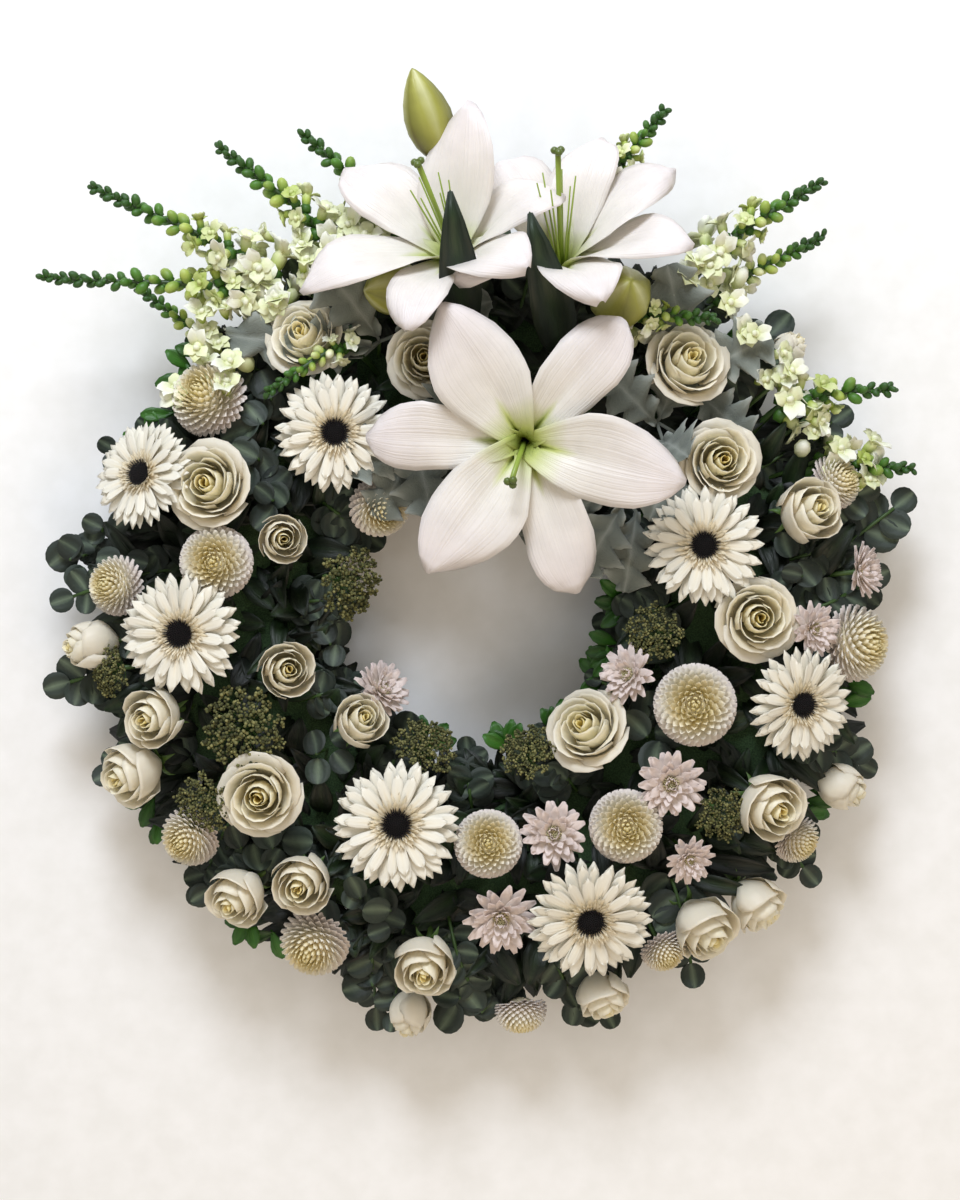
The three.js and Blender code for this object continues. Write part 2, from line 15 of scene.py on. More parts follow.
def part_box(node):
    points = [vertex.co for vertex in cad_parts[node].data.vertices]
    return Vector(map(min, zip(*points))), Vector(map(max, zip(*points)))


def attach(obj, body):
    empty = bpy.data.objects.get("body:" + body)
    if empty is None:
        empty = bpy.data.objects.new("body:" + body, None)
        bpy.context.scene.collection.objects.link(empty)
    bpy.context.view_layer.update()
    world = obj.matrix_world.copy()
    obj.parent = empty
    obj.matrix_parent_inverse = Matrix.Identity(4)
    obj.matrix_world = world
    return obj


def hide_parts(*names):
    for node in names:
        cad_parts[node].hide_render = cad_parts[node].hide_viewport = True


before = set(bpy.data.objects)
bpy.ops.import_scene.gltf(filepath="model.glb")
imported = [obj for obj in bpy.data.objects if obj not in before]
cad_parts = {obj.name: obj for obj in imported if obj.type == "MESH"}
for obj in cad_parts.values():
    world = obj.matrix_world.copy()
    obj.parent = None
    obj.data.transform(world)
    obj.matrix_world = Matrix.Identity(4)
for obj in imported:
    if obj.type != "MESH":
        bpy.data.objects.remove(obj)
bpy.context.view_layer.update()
MM = 0.001
TAU = 2 * math.pi
GOLDEN = math.pi * (3 - math.sqrt(5))
chance = np.random.default_rng(21)

# %% [markdown]
# ## Places on the ring
# Florists give places on a wreath like hours on a clock. Here a place is a bearing in degrees,
# clockwise from the wreath's top, and a reach in millimetres from the middle of the hole. The
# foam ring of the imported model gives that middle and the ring's two radii.

# %% The ring's measures
foam_low, foam_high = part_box("foam_ring")
HUB = (foam_low + foam_high) / 2
HUB.z = 0
FOAM_TOP = foam_high.z / MM
OUTER = (foam_high.x - foam_low.x) / 2 / MM
foam_points = np.array([v.co[:2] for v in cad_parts["foam_ring"].data.vertices])
INNER = np.hypot(*(foam_points - HUB[:2]).T).min() / MM
CORE = (INNER + OUTER) / 2
DOME_BASE = 38
DOME_RISE = 80
DOME_HALF_WIDTH = 130
print("foam ring from", round(INNER), "to", round(OUTER), "mm, top at", round(FOAM_TOP))


def spot(bearing, reach, height):
    """The point at a bearing, a reach and a height in millimetres."""
    angle = math.radians(bearing)
    return HUB + Vector((reach * math.sin(angle), reach * math.cos(angle), height)) * MM


def lean(bearing, tilt):
    """The direction that leans from straight up towards a bearing."""
    angle, tilt = math.radians(bearing), math.radians(tilt)
    return Vector((math.sin(tilt) * math.sin(angle), math.sin(tilt) * math.cos(angle), math.cos(tilt)))


def dome(reach):
    """The height of the flower heads over the foam, highest over the ring's core."""
    across = (reach - CORE) / DOME_HALF_WIDTH
    return DOME_BASE + DOME_RISE * math.sqrt(max(0.05, 1 - across * across))


# %% [markdown]
# ## Reading the stems
# A flower's node holds up to three straight stems with their heads. The lowest points are a
# stem's foot in the foam. The long edges that rise from it run along the stem, and the points
# furthest along and furthest from that line give the height of the bloom and its radius.

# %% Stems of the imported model
FOOT_DEPTH = 17
FOOT_SPREAD = 9
NECK = 46


class Stem:
    """A straight stem: where it starts, which way it points, and the bloom that it carries."""

    def __init__(self, foot, axis, top, depth, radius):
        self.foot, self.axis, self.top, self.depth, self.radius = foot, axis, top, depth, radius


def stems_of(node):
    """The stems of a node, found from its feet in the foam and its long edges."""
    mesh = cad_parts[node].data
    loose = np.array([v.co for v in mesh.vertices])
    _, first, merged = np.unique(np.round(loose, 5), axis=0, return_index=True, return_inverse=True)
    points = loose[first]
    edges = merged.reshape(-1)[np.array([e.vertices[:] for e in mesh.edges])]
    low = points[:, 2] < (FOAM_TOP - FOOT_DEPTH) * MM
    feet = []
    for i in np.flatnonzero(low):
        near = [group for group in feet if np.linalg.norm(points[group[0]] - points[i]) < FOOT_SPREAD * MM]
        if near:
            near[0].append(i)
        else:
            feet.append([i])
    lines = []
    for group in feet:
        rise = Vector()
        for a, b in edges:
            for start, end in ((a, b), (b, a)):
                step = points[end] - points[start]
                if start in group and not low[end] and np.linalg.norm(step) > 12 * MM:
                    rise += Vector(step)
        lines.append((Vector(points[group].mean(0)), rise.normalized()))
    high = points[points[:, 2] > (FOAM_TOP + 4) * MM]
    offsets = np.array([np.linalg.norm(np.cross(high - foot, axis), axis=1) for foot, axis in lines])
    nearest = offsets.argmin(0)
    stems = []
    for k, (foot, axis) in enumerate(lines):
        along = (high - np.array(foot)) @ np.array(axis)
        mine = (nearest == k) & (along > NECK * MM)
        head = mine & (offsets[k] > 5 * MM)
        top = along[mine].max()
        stems.append(Stem(foot, axis, top, top - along[head].min(), offsets[k][head].max()))
    return stems


def stem_to(bearing, reach, radius):
    """The stem of a daisy bloom at a place on the dome, for a foot that is hidden in the foam."""
    foot = spot(bearing, min(max((CORE + reach) / 2, INNER + 14), OUTER - 14), 36)
    rise = spot(bearing, reach, dome(reach)) - foot
    top = rise.length + (14.4 - 0.4 * radius) * MM
    return Stem(foot, rise.normalized(), top, 13 * MM, radius * MM)


print("rose_01 stands on", len(stems_of("rose_01")), "stems, gerbera_1 on", len(stems_of("gerbera_1")))


# %% [markdown]
# ## Shapes before they are objects
# A bloom has hundreds of petals, and an object for each would be slow to move about. So petals
# are kept as plain shapes, moved and joined as numbers, and only the whole bloom is an object.

# %% Shapes
class Shape:
    """Points, faces, a UV and a tone for each point, and a material number for each face."""

    def __init__(self, points, faces, uv, tone=0.0, material=0):
        self.points = np.asarray(points, float)
        self.faces = faces
        self.uv = uv
        self.tone = np.full(len(points), tone) if np.isscalar(tone) else np.asarray(tone, float)
        self.material = [material] * len(faces) if np.isscalar(material) else material

    def moved(self, matrix):
        matrix = np.array(matrix)
        points = self.points @ matrix[:3, :3].T + matrix[:3, 3]
        return Shape(points, self.faces, self.uv, self.tone, self.material)


def together(shapes):
    """Joins shapes into one, keeping each one's faces apart."""
    faces, materials, start = [], [], 0
    for shape in shapes:
        faces += [tuple(i + start for i in face) for face in shape.faces]
        materials += shape.material
        start += len(shape.points)
    return Shape(
        np.concatenate([s.points for s in shapes]), faces, np.concatenate([s.uv for s in shapes]),
        np.concatenate([s.tone for s in shapes]), materials,
    )


def xyz(x, y, z):
    """Points from their three coordinates."""
    return np.stack(np.broadcast_arrays(x, y, z), 1)


def polar(turn, reach, side, rise):
    """Points of a strip that runs outwards at an angle: how far out, how far aside, how high."""
    across, ahead = np.sin(turn), np.cos(turn)
    return xyz(reach * ahead - side * across, reach * across + side * ahead, rise)


print("a point 1 m out at a right angle is", polar(math.pi / 2, np.ones(1), 0, 0).round(3).tolist())

# %% [markdown]
# ## Petal blanks
# Every petal, leaf and bud starts as a primitive. A petal blank is a grid that the Solidify
# modifier gives two faces, so each petal is a closed sheet; a bud blank is a sphere. The points
# of a blank have plain coordinates: across, along and through the sheet. Forming a petal means
# sending these coordinates to a curved surface, which can be done as often as a flower needs.

# %% Blanks
def take_shape():
    """Takes the points and faces of the object just made by operators, and removes the object."""
    made = bpy.context.object
    mesh = made.data
    points = np.array([v.co for v in mesh.vertices])
    faces = [tuple(p.vertices) for p in mesh.polygons]
    bpy.data.objects.remove(made)
    bpy.data.meshes.remove(mesh)
    return points, faces


def sheet_blank(columns, rows):
    """A closed sheet: across -1 to 1, along 0 to 1, through -0.5 to 0.5."""
    bpy.ops.object.select_all(action="DESELECT")
    bpy.ops.mesh.primitive_grid_add(x_subdivisions=columns, y_subdivisions=rows, size=2)
    bpy.ops.object.modifier_add(type="SOLIDIFY")
    bpy.context.object.modifiers[0].thickness = 1
    bpy.context.object.modifiers[0].offset = 0
    bpy.ops.object.modifier_apply(modifier=bpy.context.object.modifiers[0].name)
    points, faces = take_shape()
    points[:, 1] = (points[:, 1] + 1) / 2
    return points, faces


def ball_blank(sides, rings):
    """A closed ball of radius 1."""
    bpy.ops.object.select_all(action="DESELECT")
    bpy.ops.mesh.primitive_uv_sphere_add(segments=sides, ring_count=rings, radius=1)
    return take_shape()


def formed(blank, surface, thickness, tone=0.0, material=0):
    """Sends a sheet blank's points to surface(u, v), and gives the sheet its thickness there."""
    points, faces = blank
    u, v, through = points.T
    step = 1e-3
    across = surface(u + step, v) - surface(u - step, v)
    along = surface(u, v + step) - surface(u, v - step)
    normal = np.cross(across, along)
    length = np.linalg.norm(normal, axis=1, keepdims=True)
    normal = np.where(length > 1e-12, normal / np.maximum(length, 1e-12), [0, 0, 1])
    taper = 1 - 0.6 * np.maximum(np.abs(u), v)[:, None] ** 4
    placed = surface(u, v) + normal * through[:, None] * thickness * taper
    return Shape(placed, faces, np.stack([u / 2 + 0.5, v], 1), tone, material)


def rounded(blank, surface, tone=0.0, material=0):
    """Sends a ball blank's points, as angle and height from -1 to 1, to surface(angle, height)."""
    points, faces = blank
    angle, height = np.arctan2(points[:, 1], points[:, 0]), points[:, 2]
    ring = np.sqrt(np.clip(1 - height**2, 0, 1))
    placed = surface(angle, height, ring)
    return Shape(placed, faces, np.stack([angle / TAU + 0.5, height / 2 + 0.5], 1), tone, material)


def egg(blank, centre, wide, tall, tone=0.0, material=0):
    """A round or drawn-out ball at a centre, from its radius and half its height."""
    x, y, z = centre

    def surface(angle, height, ring):
        return xyz(x + wide * ring * np.cos(angle), y + wide * ring * np.sin(angle), z + tall * height)

    return rounded(blank, surface, tone, material)


PETAL = sheet_blank(6, 8)
SMALL_PETAL = sheet_blank(2, 4)
FLORET = sheet_blank(2, 3)
LEAF = sheet_blank(4, 6)
BALL = ball_blank(8, 6)
GRAIN = ball_blank(5, 3)
STRAP = sheet_blank(4, 7)
LONG_PETAL = sheet_blank(10, 16)
DISC = sheet_blank(4, 8)
BUD = ball_blank(12, 10)
print("a rose petal's blank has", len(PETAL[1]), "faces, a floret's", len(FLORET[1]))


# %% [markdown]
# ## From shape to object
# A piece's object stays at the origin and its place is in its mesh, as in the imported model. The
# tone is stored with the points: the materials read it to colour hearts and tips differently.

# %% Making objects
def to_object(name, shape, materials, replaces=()):
    """Makes a piece of a shape, on the wreath's one body, in the place of the nodes it replaces."""
    mesh = bpy.data.meshes.new(name)
    mesh.from_pydata(shape.points, [], shape.faces)
    corners = np.empty(len(mesh.loops), int)
    mesh.loops.foreach_get("vertex_index", corners)
    mesh.uv_layers.new(name="UVMap").data.foreach_set("uv", shape.uv[corners].ravel())
    mesh.attributes.new("tone", "FLOAT", "POINT").data.foreach_set("value", shape.tone)
    mesh.polygons.foreach_set("use_smooth", np.ones(len(mesh.polygons), bool))
    for material in materials:
        mesh.materials.append(material)
    mesh.polygons.foreach_set("material_index", shape.material)
    mesh.update()
    made = bpy.data.objects.new(name, mesh)
    bpy.context.scene.collection.objects.link(made)
    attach(made, "root")
    if replaces:
        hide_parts(*replaces)
    print(name, "has", len(shape.faces), "faces")
    return made


def stand(place, axis, size, roll=0.0):
    """Stands a shape on a place, with its +Z along an axis and its +Y towards the wreath's top."""
    over = axis.normalized()
    ahead = (Vector((0, 1, 0)) - over * over.y).normalized()
    turn = Matrix((ahead.cross(over), ahead, over)).transposed().to_4x4()
    return Matrix.Translation(place) @ turn @ Matrix.Rotation(roll, 4, "Z") @ Matrix.Scale(size, 4)


def lay(start, end, width):
    """The matrix that lays a shape's +Y from start to end, with its +Z as nearly up as it can."""
    along = end - start
    side = along.cross(Vector((0, 0, 1))).normalized()
    over = side.cross(along).normalized()
    turn = Matrix((side, along.normalized(), over)).transposed().to_4x4()
    scale = Matrix.Diagonal((width, along.length, along.length, 1))
    return Matrix.Translation(start) @ turn @ scale


def tube(points, radius, sides=6, tone=0.5, material=1):
    """A closed round stem through points, of one radius or one for each point."""
    points = np.asarray([p[:] for p in points], float)
    radii = np.broadcast_to(radius, len(points))
    tangents = np.gradient(points, axis=0)
    tangents /= np.linalg.norm(tangents, axis=1, keepdims=True)
    side = np.cross(tangents, [0.31, 0.17, 0.93])
    side /= np.linalg.norm(side, axis=1, keepdims=True)
    over = np.cross(tangents, side)
    angles = np.arange(sides) * TAU / sides
    rings = points[:, None] + radii[:, None, None] * (
        np.cos(angles)[None, :, None] * side[:, None] + np.sin(angles)[None, :, None] * over[:, None])
    count = len(points)
    faces = []
    for k in range(count - 1):
        for i in range(sides):
            j = (i + 1) % sides
            faces.append((k * sides + i, k * sides + j, (k + 1) * sides + j, (k + 1) * sides + i))
    faces.append(tuple(reversed(range(sides))))
    faces.append(tuple(range((count - 1) * sides, count * sides)))
    uv = np.stack([np.tile(angles / TAU, count), np.repeat(np.linspace(0, 1, count), sides)], 1)
    return Shape(rings.reshape(-1, 3), faces, uv, tone, material)


print("a stem of two points has", len(tube([HUB, spot(0, CORE, FOAM_TOP)], MM).faces), "faces")


# %% [markdown]
# ## Petal and leaf finishes
# White petals are never one white: they are cream or green where they leave the flower's base,
# thin and cool at the rim, and faintly veined along their length. One recipe makes them all. The
# tone of each point picks a colour from a ramp, a large soft noise mottles it, and a noise that
# is stretched along the petal's own UV raises the veins.

# %% The finish recipe
def colour(code):
    """A colour from its hexadecimal code, as the linear values that shaders use."""
    parts = [int(code[i:i + 2], 16) / 255 for i in (0, 2, 4)]
    return [c / 12.92 if c <= 0.04045 else ((c + 0.055) / 1.055) ** 2.4 for c in parts] + [1]


def finish(name, ramp, roughness, veins=(18, 1.2), relief=0.12, mottle=0.1, mottle_scale=45,
           soft=0.0, sheen=0.0):
    """A petal or leaf finish: a colour ramp over the tone, mottling and raised veins."""
    material = bpy.data.materials.new(name)
    material.use_nodes = True
    tree = material.node_tree
    link, shader = tree.links.new, tree.nodes["Principled BSDF"]
    shader.inputs["Roughness"].default_value = roughness
    shader.inputs["Subsurface Weight"].default_value = soft
    shader.inputs["Subsurface Radius"].default_value = (0.9, 0.8, 0.6)
    shader.inputs["Subsurface Scale"].default_value = 0.004
    shader.inputs["Sheen Weight"].default_value = sheen

    tone = tree.nodes.new("ShaderNodeAttribute")
    tone.attribute_name = "tone"
    colours = tree.nodes.new("ShaderNodeValToRGB")
    stops = colours.color_ramp.elements
    while len(stops) < len(ramp):
        stops.new(0.5)
    for stop, (position, code) in zip(stops, ramp):
        stop.position, stop.color = position, colour(code)
    link(tone.outputs["Fac"], colours.inputs["Fac"])

    place = tree.nodes.new("ShaderNodeTexCoord")
    cloud = tree.nodes.new("ShaderNodeTexNoise")
    cloud.inputs["Scale"].default_value = mottle_scale
    cloud.inputs["Detail"].default_value = 3
    link(place.outputs["Object"], cloud.inputs["Vector"])
    shade = tree.nodes.new("ShaderNodeMapRange")
    limits = {"From Min": 0.3, "From Max": 0.7, "To Min": 1 - mottle, "To Max": 1 + mottle / 3}
    for limit, value in limits.items():
        shade.inputs[limit].default_value = value
    link(cloud.outputs["Fac"], shade.inputs["Value"])
    mix = tree.nodes.new("ShaderNodeMix")
    mix.data_type, mix.blend_type = "RGBA", "MULTIPLY"
    mix.inputs["Factor"].default_value = 1
    link(colours.outputs["Color"], mix.inputs["A"])
    link(shade.outputs["Result"], mix.inputs["B"])
    link(mix.outputs["Result"], shader.inputs["Base Color"])

    uv = tree.nodes.new("ShaderNodeUVMap")
    stretch = tree.nodes.new("ShaderNodeMapping")
    stretch.inputs["Scale"].default_value = (veins[0], veins[1], 1)
    fibre = tree.nodes.new("ShaderNodeTexNoise")
    fibre.inputs["Scale"].default_value = 1
    fibre.inputs["Detail"].default_value = 4
    bump = tree.nodes.new("ShaderNodeBump")
    bump.inputs["Strength"].default_value = relief
    bump.inputs["Distance"].default_value = 0.002
    link(uv.outputs["UV"], stretch.inputs["Vector"])
    link(stretch.outputs["Vector"], fibre.inputs["Vector"])
    link(fibre.outputs["Fac"], bump.inputs["Height"])
    link(bump.outputs["Normal"], shader.inputs["Normal"])
    return material


ROSE = finish(
    "rose_petal", [(0, "efd67c"), (0.3, "f3e5ae"), (0.7, "f2eacf"), (1, "e9dfc8")],
    0.5, (9, 2), 0.12, 0.08, soft=0.3)
GERBERA = finish(
    "gerbera_petal", [(0, "d3c08c"), (0.3, "ecdfc2"), (0.6, "f0ead8"), (1, "f1eddf")],
    0.5, (7, 1), 0.35, 0.08)
GERBERA_EYE = finish(
    "gerbera_eye", [(0, "070405"), (0.5, "16090c"), (0.8, "4a3325"), (1, "e8dcb8")],
    0.75, (4, 4), 0.2)
# The ramp ends in a darker, pinkish white on the florets low on the ball's sides: painted shade. The yellow
# middle is the bloom's own colour.
POMPON = finish(
    "pompon_petal", [(0, "dccb78"), (0.25, "eee0b0"), (0.6, "f1ebdb"), (1, "eae0d8")],
    0.55, (5, 1), 0.2, 0.08)
SPRAY = finish(
    "chrysanthemum_petal", [(0, "a9ac5c"), (0.22, "e6d8bc"), (0.6, "ebdfd6"), (1, "e2d2cc")],
    0.55, (6, 1), 0.25, 0.08)
LILY = finish(
    "lily_petal", [(0, "7f8f2c"), (0.1, "c3cc7c"), (0.3, "e6e0d4"), (1, "e9dfdb")],
    0.4, (34, 0.9), 0.45, 0.08, soft=0.12)
LILY_GREEN = finish(
    "lily_pistil", [(0, "7d9a35"), (0.5, "98ab45"), (1, "4c5c22")],
    0.35, (4, 4), 0.1)
LILY_BUD = finish(
    "lily_bud", [(0, "4c3d1a"), (0.25, "7c7b33"), (0.6, "a3a24a"), (1, "d3d3a0")],
    0.4, (30, 1.5), 0.35, 0.15)
SNAP = finish(
    "snapdragon_floret", [(0, "1f4416"), (0.3, "4e7f25"), (0.55, "aebf58"), (0.8, "e3e7b4"), (1, "f3f3e4")],
    0.5, (6, 3), 0.25, 0.12)
STEM_GREEN = finish(
    "stem", [(0, "27421a"), (1, "56762f")],
    0.5, (8, 3), 0.15, 0.15)
# Dark green leaves darkened to near black: partly the leaves' own colour, partly painted shade for the gaps
# between blooms.
LEAF_GREEN_AND_SHADE = finish(
    "green_leaf", [(0, "080f07"), (0.5, "11200d"), (1, "263f19")],
    0.5, (14, 5), 0.35, 0.3)
LEAF_BRIGHT = finish(
    "fresh_leaf", [(0, "1f4312"), (1, "3f7a22")],
    0.4, (14, 5), 0.3, 0.2)
EUCALYPTUS = finish(
    "eucalyptus_leaf", [(0, "1b241d"), (0.5, "2f3c31"), (1, "66755f")],
    0.62, (10, 6), 0.25, 0.3, sheen=0.1)
FELT = finish(
    "dusty_miller_leaf", [(0, "5c615a"), (0.5, "80867d"), (1, "b4b8b0")],
    0.95, (40, 40), 0.5, 0.15, sheen=0.15)
UMBEL = finish(
    "umbel_floret", [(0, "34361a"), (0.5, "5e6034"), (1, "928e5a")],
    0.85, (3, 3), 0.2, 0.3, 90)
print("petal finishes:", [m.name for m in (ROSE, GERBERA, POMPON, SPRAY, LILY, SNAP)])
print("leaf finishes:", [m.name for m in (LEAF_GREEN_AND_SHADE, LEAF_BRIGHT, EUCALYPTUS, FELT)])

# %% [markdown]
# ## Roses
# A rose is a spiral of petals that wrap each other like the leaves of a cabbage. Near the heart
# they are narrow, tight and deep in colour; further out they are lower, wider and paler, and
# their rims roll back. Each ring of petals is one line of a table: how many, how far from the
# middle, how high, how wide, how much they flare and roll, and how much the top closes.

# %% Rose blooms
def rose_petal(turn, half, radius, height, flare, roll, closing, seed):
    """A petal that wraps round the heart: turn is its middle, half is half the angle it covers."""
    wave = seed * 1.7

    def surface(u, v):
        angle = turn + half * u * (0.4 + 0.6 * np.minimum(1, 1.7 * v))
        swell = np.sin(np.clip(1.3 * v, 0, 1) * math.pi / 2) ** 0.8
        rim = np.clip((v - 0.6) / 0.4, 0, 1) ** 2
        reach = 0.06 + (radius - 0.06) * swell * (1 - closing * v**3) * (1 + 0.14 * u)
        reach = reach + rim * (flare + roll * (1 - 0.7 * u**2)) + 0.02 * np.sin(3 * u + wave) * v
        rise = height * (v - 0.24 * np.abs(u) ** 3.5 * v**2) - rim * roll * (1 - 0.5 * u**2)
        rise = rise + 0.02 * np.sin(4 * u + wave) * rim
        return xyz(reach * np.cos(angle), reach * np.sin(angle), rise)

    return surface


def rose(rings, seed):
    """A bloom of radius 1 with its base on the origin, petals first, then the green parts."""
    dice = np.random.default_rng(seed)
    parts = []
    for layer, (count, radius, height, half, flare, roll, closing) in enumerate(rings):
        start = dice.uniform(0, TAU)
        for k in range(count):
            turn = start + TAU * k / count + dice.uniform(-0.1, 0.1)
            tall = height * dice.uniform(0.96, 1.03)
            rolled = roll * dice.uniform(0.6, 1.4)
            petal = rose_petal(turn, half, radius, tall, flare, rolled, closing, dice.uniform(0, 4))
            tone = (layer / (len(rings) - 1)) ** 0.8
            part = formed(PETAL, petal, 0.024)
            rise = part.uv[:, 1]
            part.tone = np.clip(tone * 0.9 + 0.15 * rise - 0.1 * (1 - rise), 0, 1)
            parts.append(part)
    for k in range(5):
        turn = TAU * k / 5

        def sepal(u, v):
            reach = 0.16 + 0.72 * v * (1 - 0.35 * v)
            side = 0.11 * u * np.clip(1 - v, 0, 1) ** 0.7
            rise = 0.02 + 0.25 * v - 0.5 * v**2
            return polar(turn, reach, side, rise)

        parts.append(formed(FLORET, sepal, 0.02, 0.7, 1))
    hip = egg(BALL, (0, 0, -0.02), 0.2, 0.17, 0.8, 1)
    return together(parts + [hip])


OPEN_ROSE = [
    (2, 0.12, 1.42, 1.9, 0, 0, 0.2), (3, 0.25, 1.47, 1.35, 0, 0.02, 0.36),
    (3, 0.43, 1.47, 1.45, 0, 0.05, 0.36), (4, 0.62, 1.42, 1.2, 0.02, 0.1, 0.26),
    (5, 0.78, 1.28, 1.0, 0.05, 0.15, 0.1), (5, 0.86, 1.02, 0.98, 0.12, 0.18, 0),
]
HALF_ROSE = [
    (2, 0.12, 1.8, 1.9, 0, 0, 0.2), (3, 0.27, 1.86, 1.35, 0, 0.02, 0.4),
    (3, 0.49, 1.86, 1.45, 0, 0.05, 0.4), (4, 0.74, 1.77, 1.2, 0.02, 0.1, 0.32),
    (4, 0.94, 1.6, 1.1, 0.05, 0.15, 0.18),
]
BUD_ROSE = [
    (2, 0.12, 2.12, 1.9, 0, 0, 0.3), (3, 0.3, 2.16, 1.3, 0, 0, 0.5),
    (3, 0.52, 2.14, 1.4, 0, 0.02, 0.52), (3, 0.78, 2.08, 1.4, 0, 0.04, 0.5),
    (4, 0.97, 1.94, 1.2, 0.02, 0.08, 0.42),
]
ROSES = [
    (1.65, [rose(OPEN_ROSE, 3), rose(OPEN_ROSE, 8)], 1.45),
    (2.05, [rose(HALF_ROSE, 4), rose(HALF_ROSE, 9)], 1.86),
    (9.0, [rose(BUD_ROSE, 5), rose(BUD_ROSE, 10)], 2.16),
]
print("an open rose has", len(ROSES[0][1][0].faces), "faces, a bud", len(ROSES[2][1][0].faces))

# %% [markdown]
# ## Roses on their stems
# No two roses on the wreath are equally open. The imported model's heads are slender for buds and
# low for open blooms, so the head's depth over its radius picks the bloom, and its size follows.

# %% Roses in place
def rose_on(stem, number):
    """The bloom that fits a stem's head, open or closed by how slender the head is."""
    _, kinds, height = next(kind for kind in ROSES if stem.depth / stem.radius < kind[0])
    size = stem.depth / height if stem.depth / height < stem.radius * 1.1 else stem.radius
    base = stem.foot + stem.axis * (stem.top - height * size)
    bloom = kinds[number % 2].moved(stand(base, stem.axis, size, 1.3 * number))
    stalk = tube([stem.foot, base + stem.axis * 0.1 * size], 2.6 * MM)
    return together([bloom, stalk])


rose_nodes = sorted(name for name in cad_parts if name.startswith("rose_"))
for number, node in enumerate(rose_nodes):
    stems = stems_of(node)
    blooms = [rose_on(stem, number + 7 * k) for k, stem in enumerate(stems)]
    to_object(f"{node}_bloom", together(blooms), [ROSE, STEM_GREEN], [node])
    print(node, "radii", [round(stem.radius / MM) for stem in stems], "mm")


# %% [markdown]
# ## Gerberas
# A gerbera has two tiers of long ray petals, a frill of short cream ones, and a dark eye of
# closed florets. The rays are straps with two grooves and a blunt tip; no two lie quite level.

# %% Gerbera blooms
def strap(turn, start, length, half, lift, sag, grooves=0.02, twist=0.0):
    """A strap petal that runs outwards at an angle, rising by lift and sagging at the end."""

    def surface(u, v):
        width = half * np.interp(v, [0, 0.3, 0.65, 0.85, 0.96, 1], [0.45, 0.75, 1, 0.86, 0.5, 0.2])
        reach = start + (length - start) * v - 0.02 * u**2 * v**6
        side = width * u
        swell = np.sin(math.pi * np.clip(v, 0, 1) * 0.9)
        rise = lift * v - sag * v**2 + (grooves * np.cos(TAU * u) + twist * u) * swell
        return polar(turn, reach, side, rise)

    return surface


RAYS = [(25, 1.0, 0.1, 0.08), (23, 0.95, 0.16, 0.12), (17, 0.8, 0.2, 0.16)]
FRILLS = [(28, 0.47, 0.06, 0.034), (30, 0.41, 0.1, 0.028), (32, 0.35, 0.13, 0.024), (34, 0.29, 0.13, 0.016)]


def gerbera(seed):
    """A head of radius 1: rays are how many, length, lift and height; frills end in half width."""
    dice = np.random.default_rng(seed)
    parts = []
    for count, length, lift, height in RAYS:
        for k in range(count):
            turn = TAU * (k + 0.5 * (length < 1)) / count + dice.uniform(-0.07, 0.07)
            ray = strap(
                turn, 0.16, length * dice.uniform(0.93, 1.0), 0.09 * dice.uniform(0.88, 1.1),
                lift + dice.uniform(-0.07, 0.05), 0.1, 0.012, dice.uniform(-0.03, 0.03))
            part = formed(STRAP, ray, 0.012)
            part.points[:, 2] += height
            part.tone = 0.3 + 0.7 * part.uv[:, 1] - 0.2 * (np.abs(part.uv[:, 0] - 0.5) < 0.1)
            parts.append(part)
    for count, reach, lift, half in FRILLS:
        for k in range(count):
            turn = TAU * k / count + dice.uniform(-0.1, 0.1)
            frill = strap(
                turn, 0.15, reach * dice.uniform(0.9, 1.07), half,
                lift + dice.uniform(-0.02, 0.03), 0.0, 0.004)
            part = formed(FLORET, frill, 0.012)
            part.points[:, 2] += 0.16
            part.tone = 0.08 + 0.3 * part.uv[:, 1] * dice.uniform(0.6, 1.2)
            parts.append(part)
    for k in range(34):
        turn = TAU * k / 34 + dice.uniform(-0.06, 0.06)
        thread = strap(turn, 0.14, dice.uniform(0.22, 0.27), 0.009, 0.09, 0, 0.0)
        part = formed(FLORET, thread, 0.01, 0.3, 1)
        part.points[:, 2] += 0.21
        parts.append(part)
    for k in range(150):
        reach = 0.2 * math.sqrt((k + 0.5) / 150)
        turn = GOLDEN * k
        centre = (reach * math.cos(turn), reach * math.sin(turn), 0.27 - 1.2 * reach**2)
        parts.append(egg(GRAIN, centre, 0.014, 0.03, 0.5 if k % 5 == 0 else 0.1, 1))
    dark = egg(BALL, (0, 0, 0.15), 0.19, 0.1, 0.0, 1)
    base = egg(BALL, (0, 0, 0.08), 0.22, 0.08, 0.3, 2)
    return together(parts + [dark, base])


GERBERAS = [gerbera(1), gerbera(2), gerbera(3)]
GERBERA_HEIGHT = 0.27
GERBERA_FINISHES = [GERBERA, GERBERA_EYE, STEM_GREEN]
for number, node in enumerate(sorted(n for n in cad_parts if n.startswith("gerbera_"))):
    stem = stems_of(node)[0]
    base = stem.foot + stem.axis * (stem.top - GERBERA_HEIGHT * stem.radius)
    bloom = GERBERAS[number % 3].moved(stand(base, stem.axis, stem.radius, number))
    stalk = tube([stem.foot, base + stem.axis * 0.1 * stem.radius], 2.4 * MM, material=2)
    to_object(f"{node}_bloom", together([bloom, stalk]), GERBERA_FINISHES, [node])


# %% [markdown]
# ## Chrysanthemums
# A chrysanthemum sets its florets on a spiral, each turned from the last by the golden angle. On
# the pompon kind they cover a ball and curve inwards; on the open spray kind they are longer and
# lie nearly flat, round an eye of green-yellow buds.

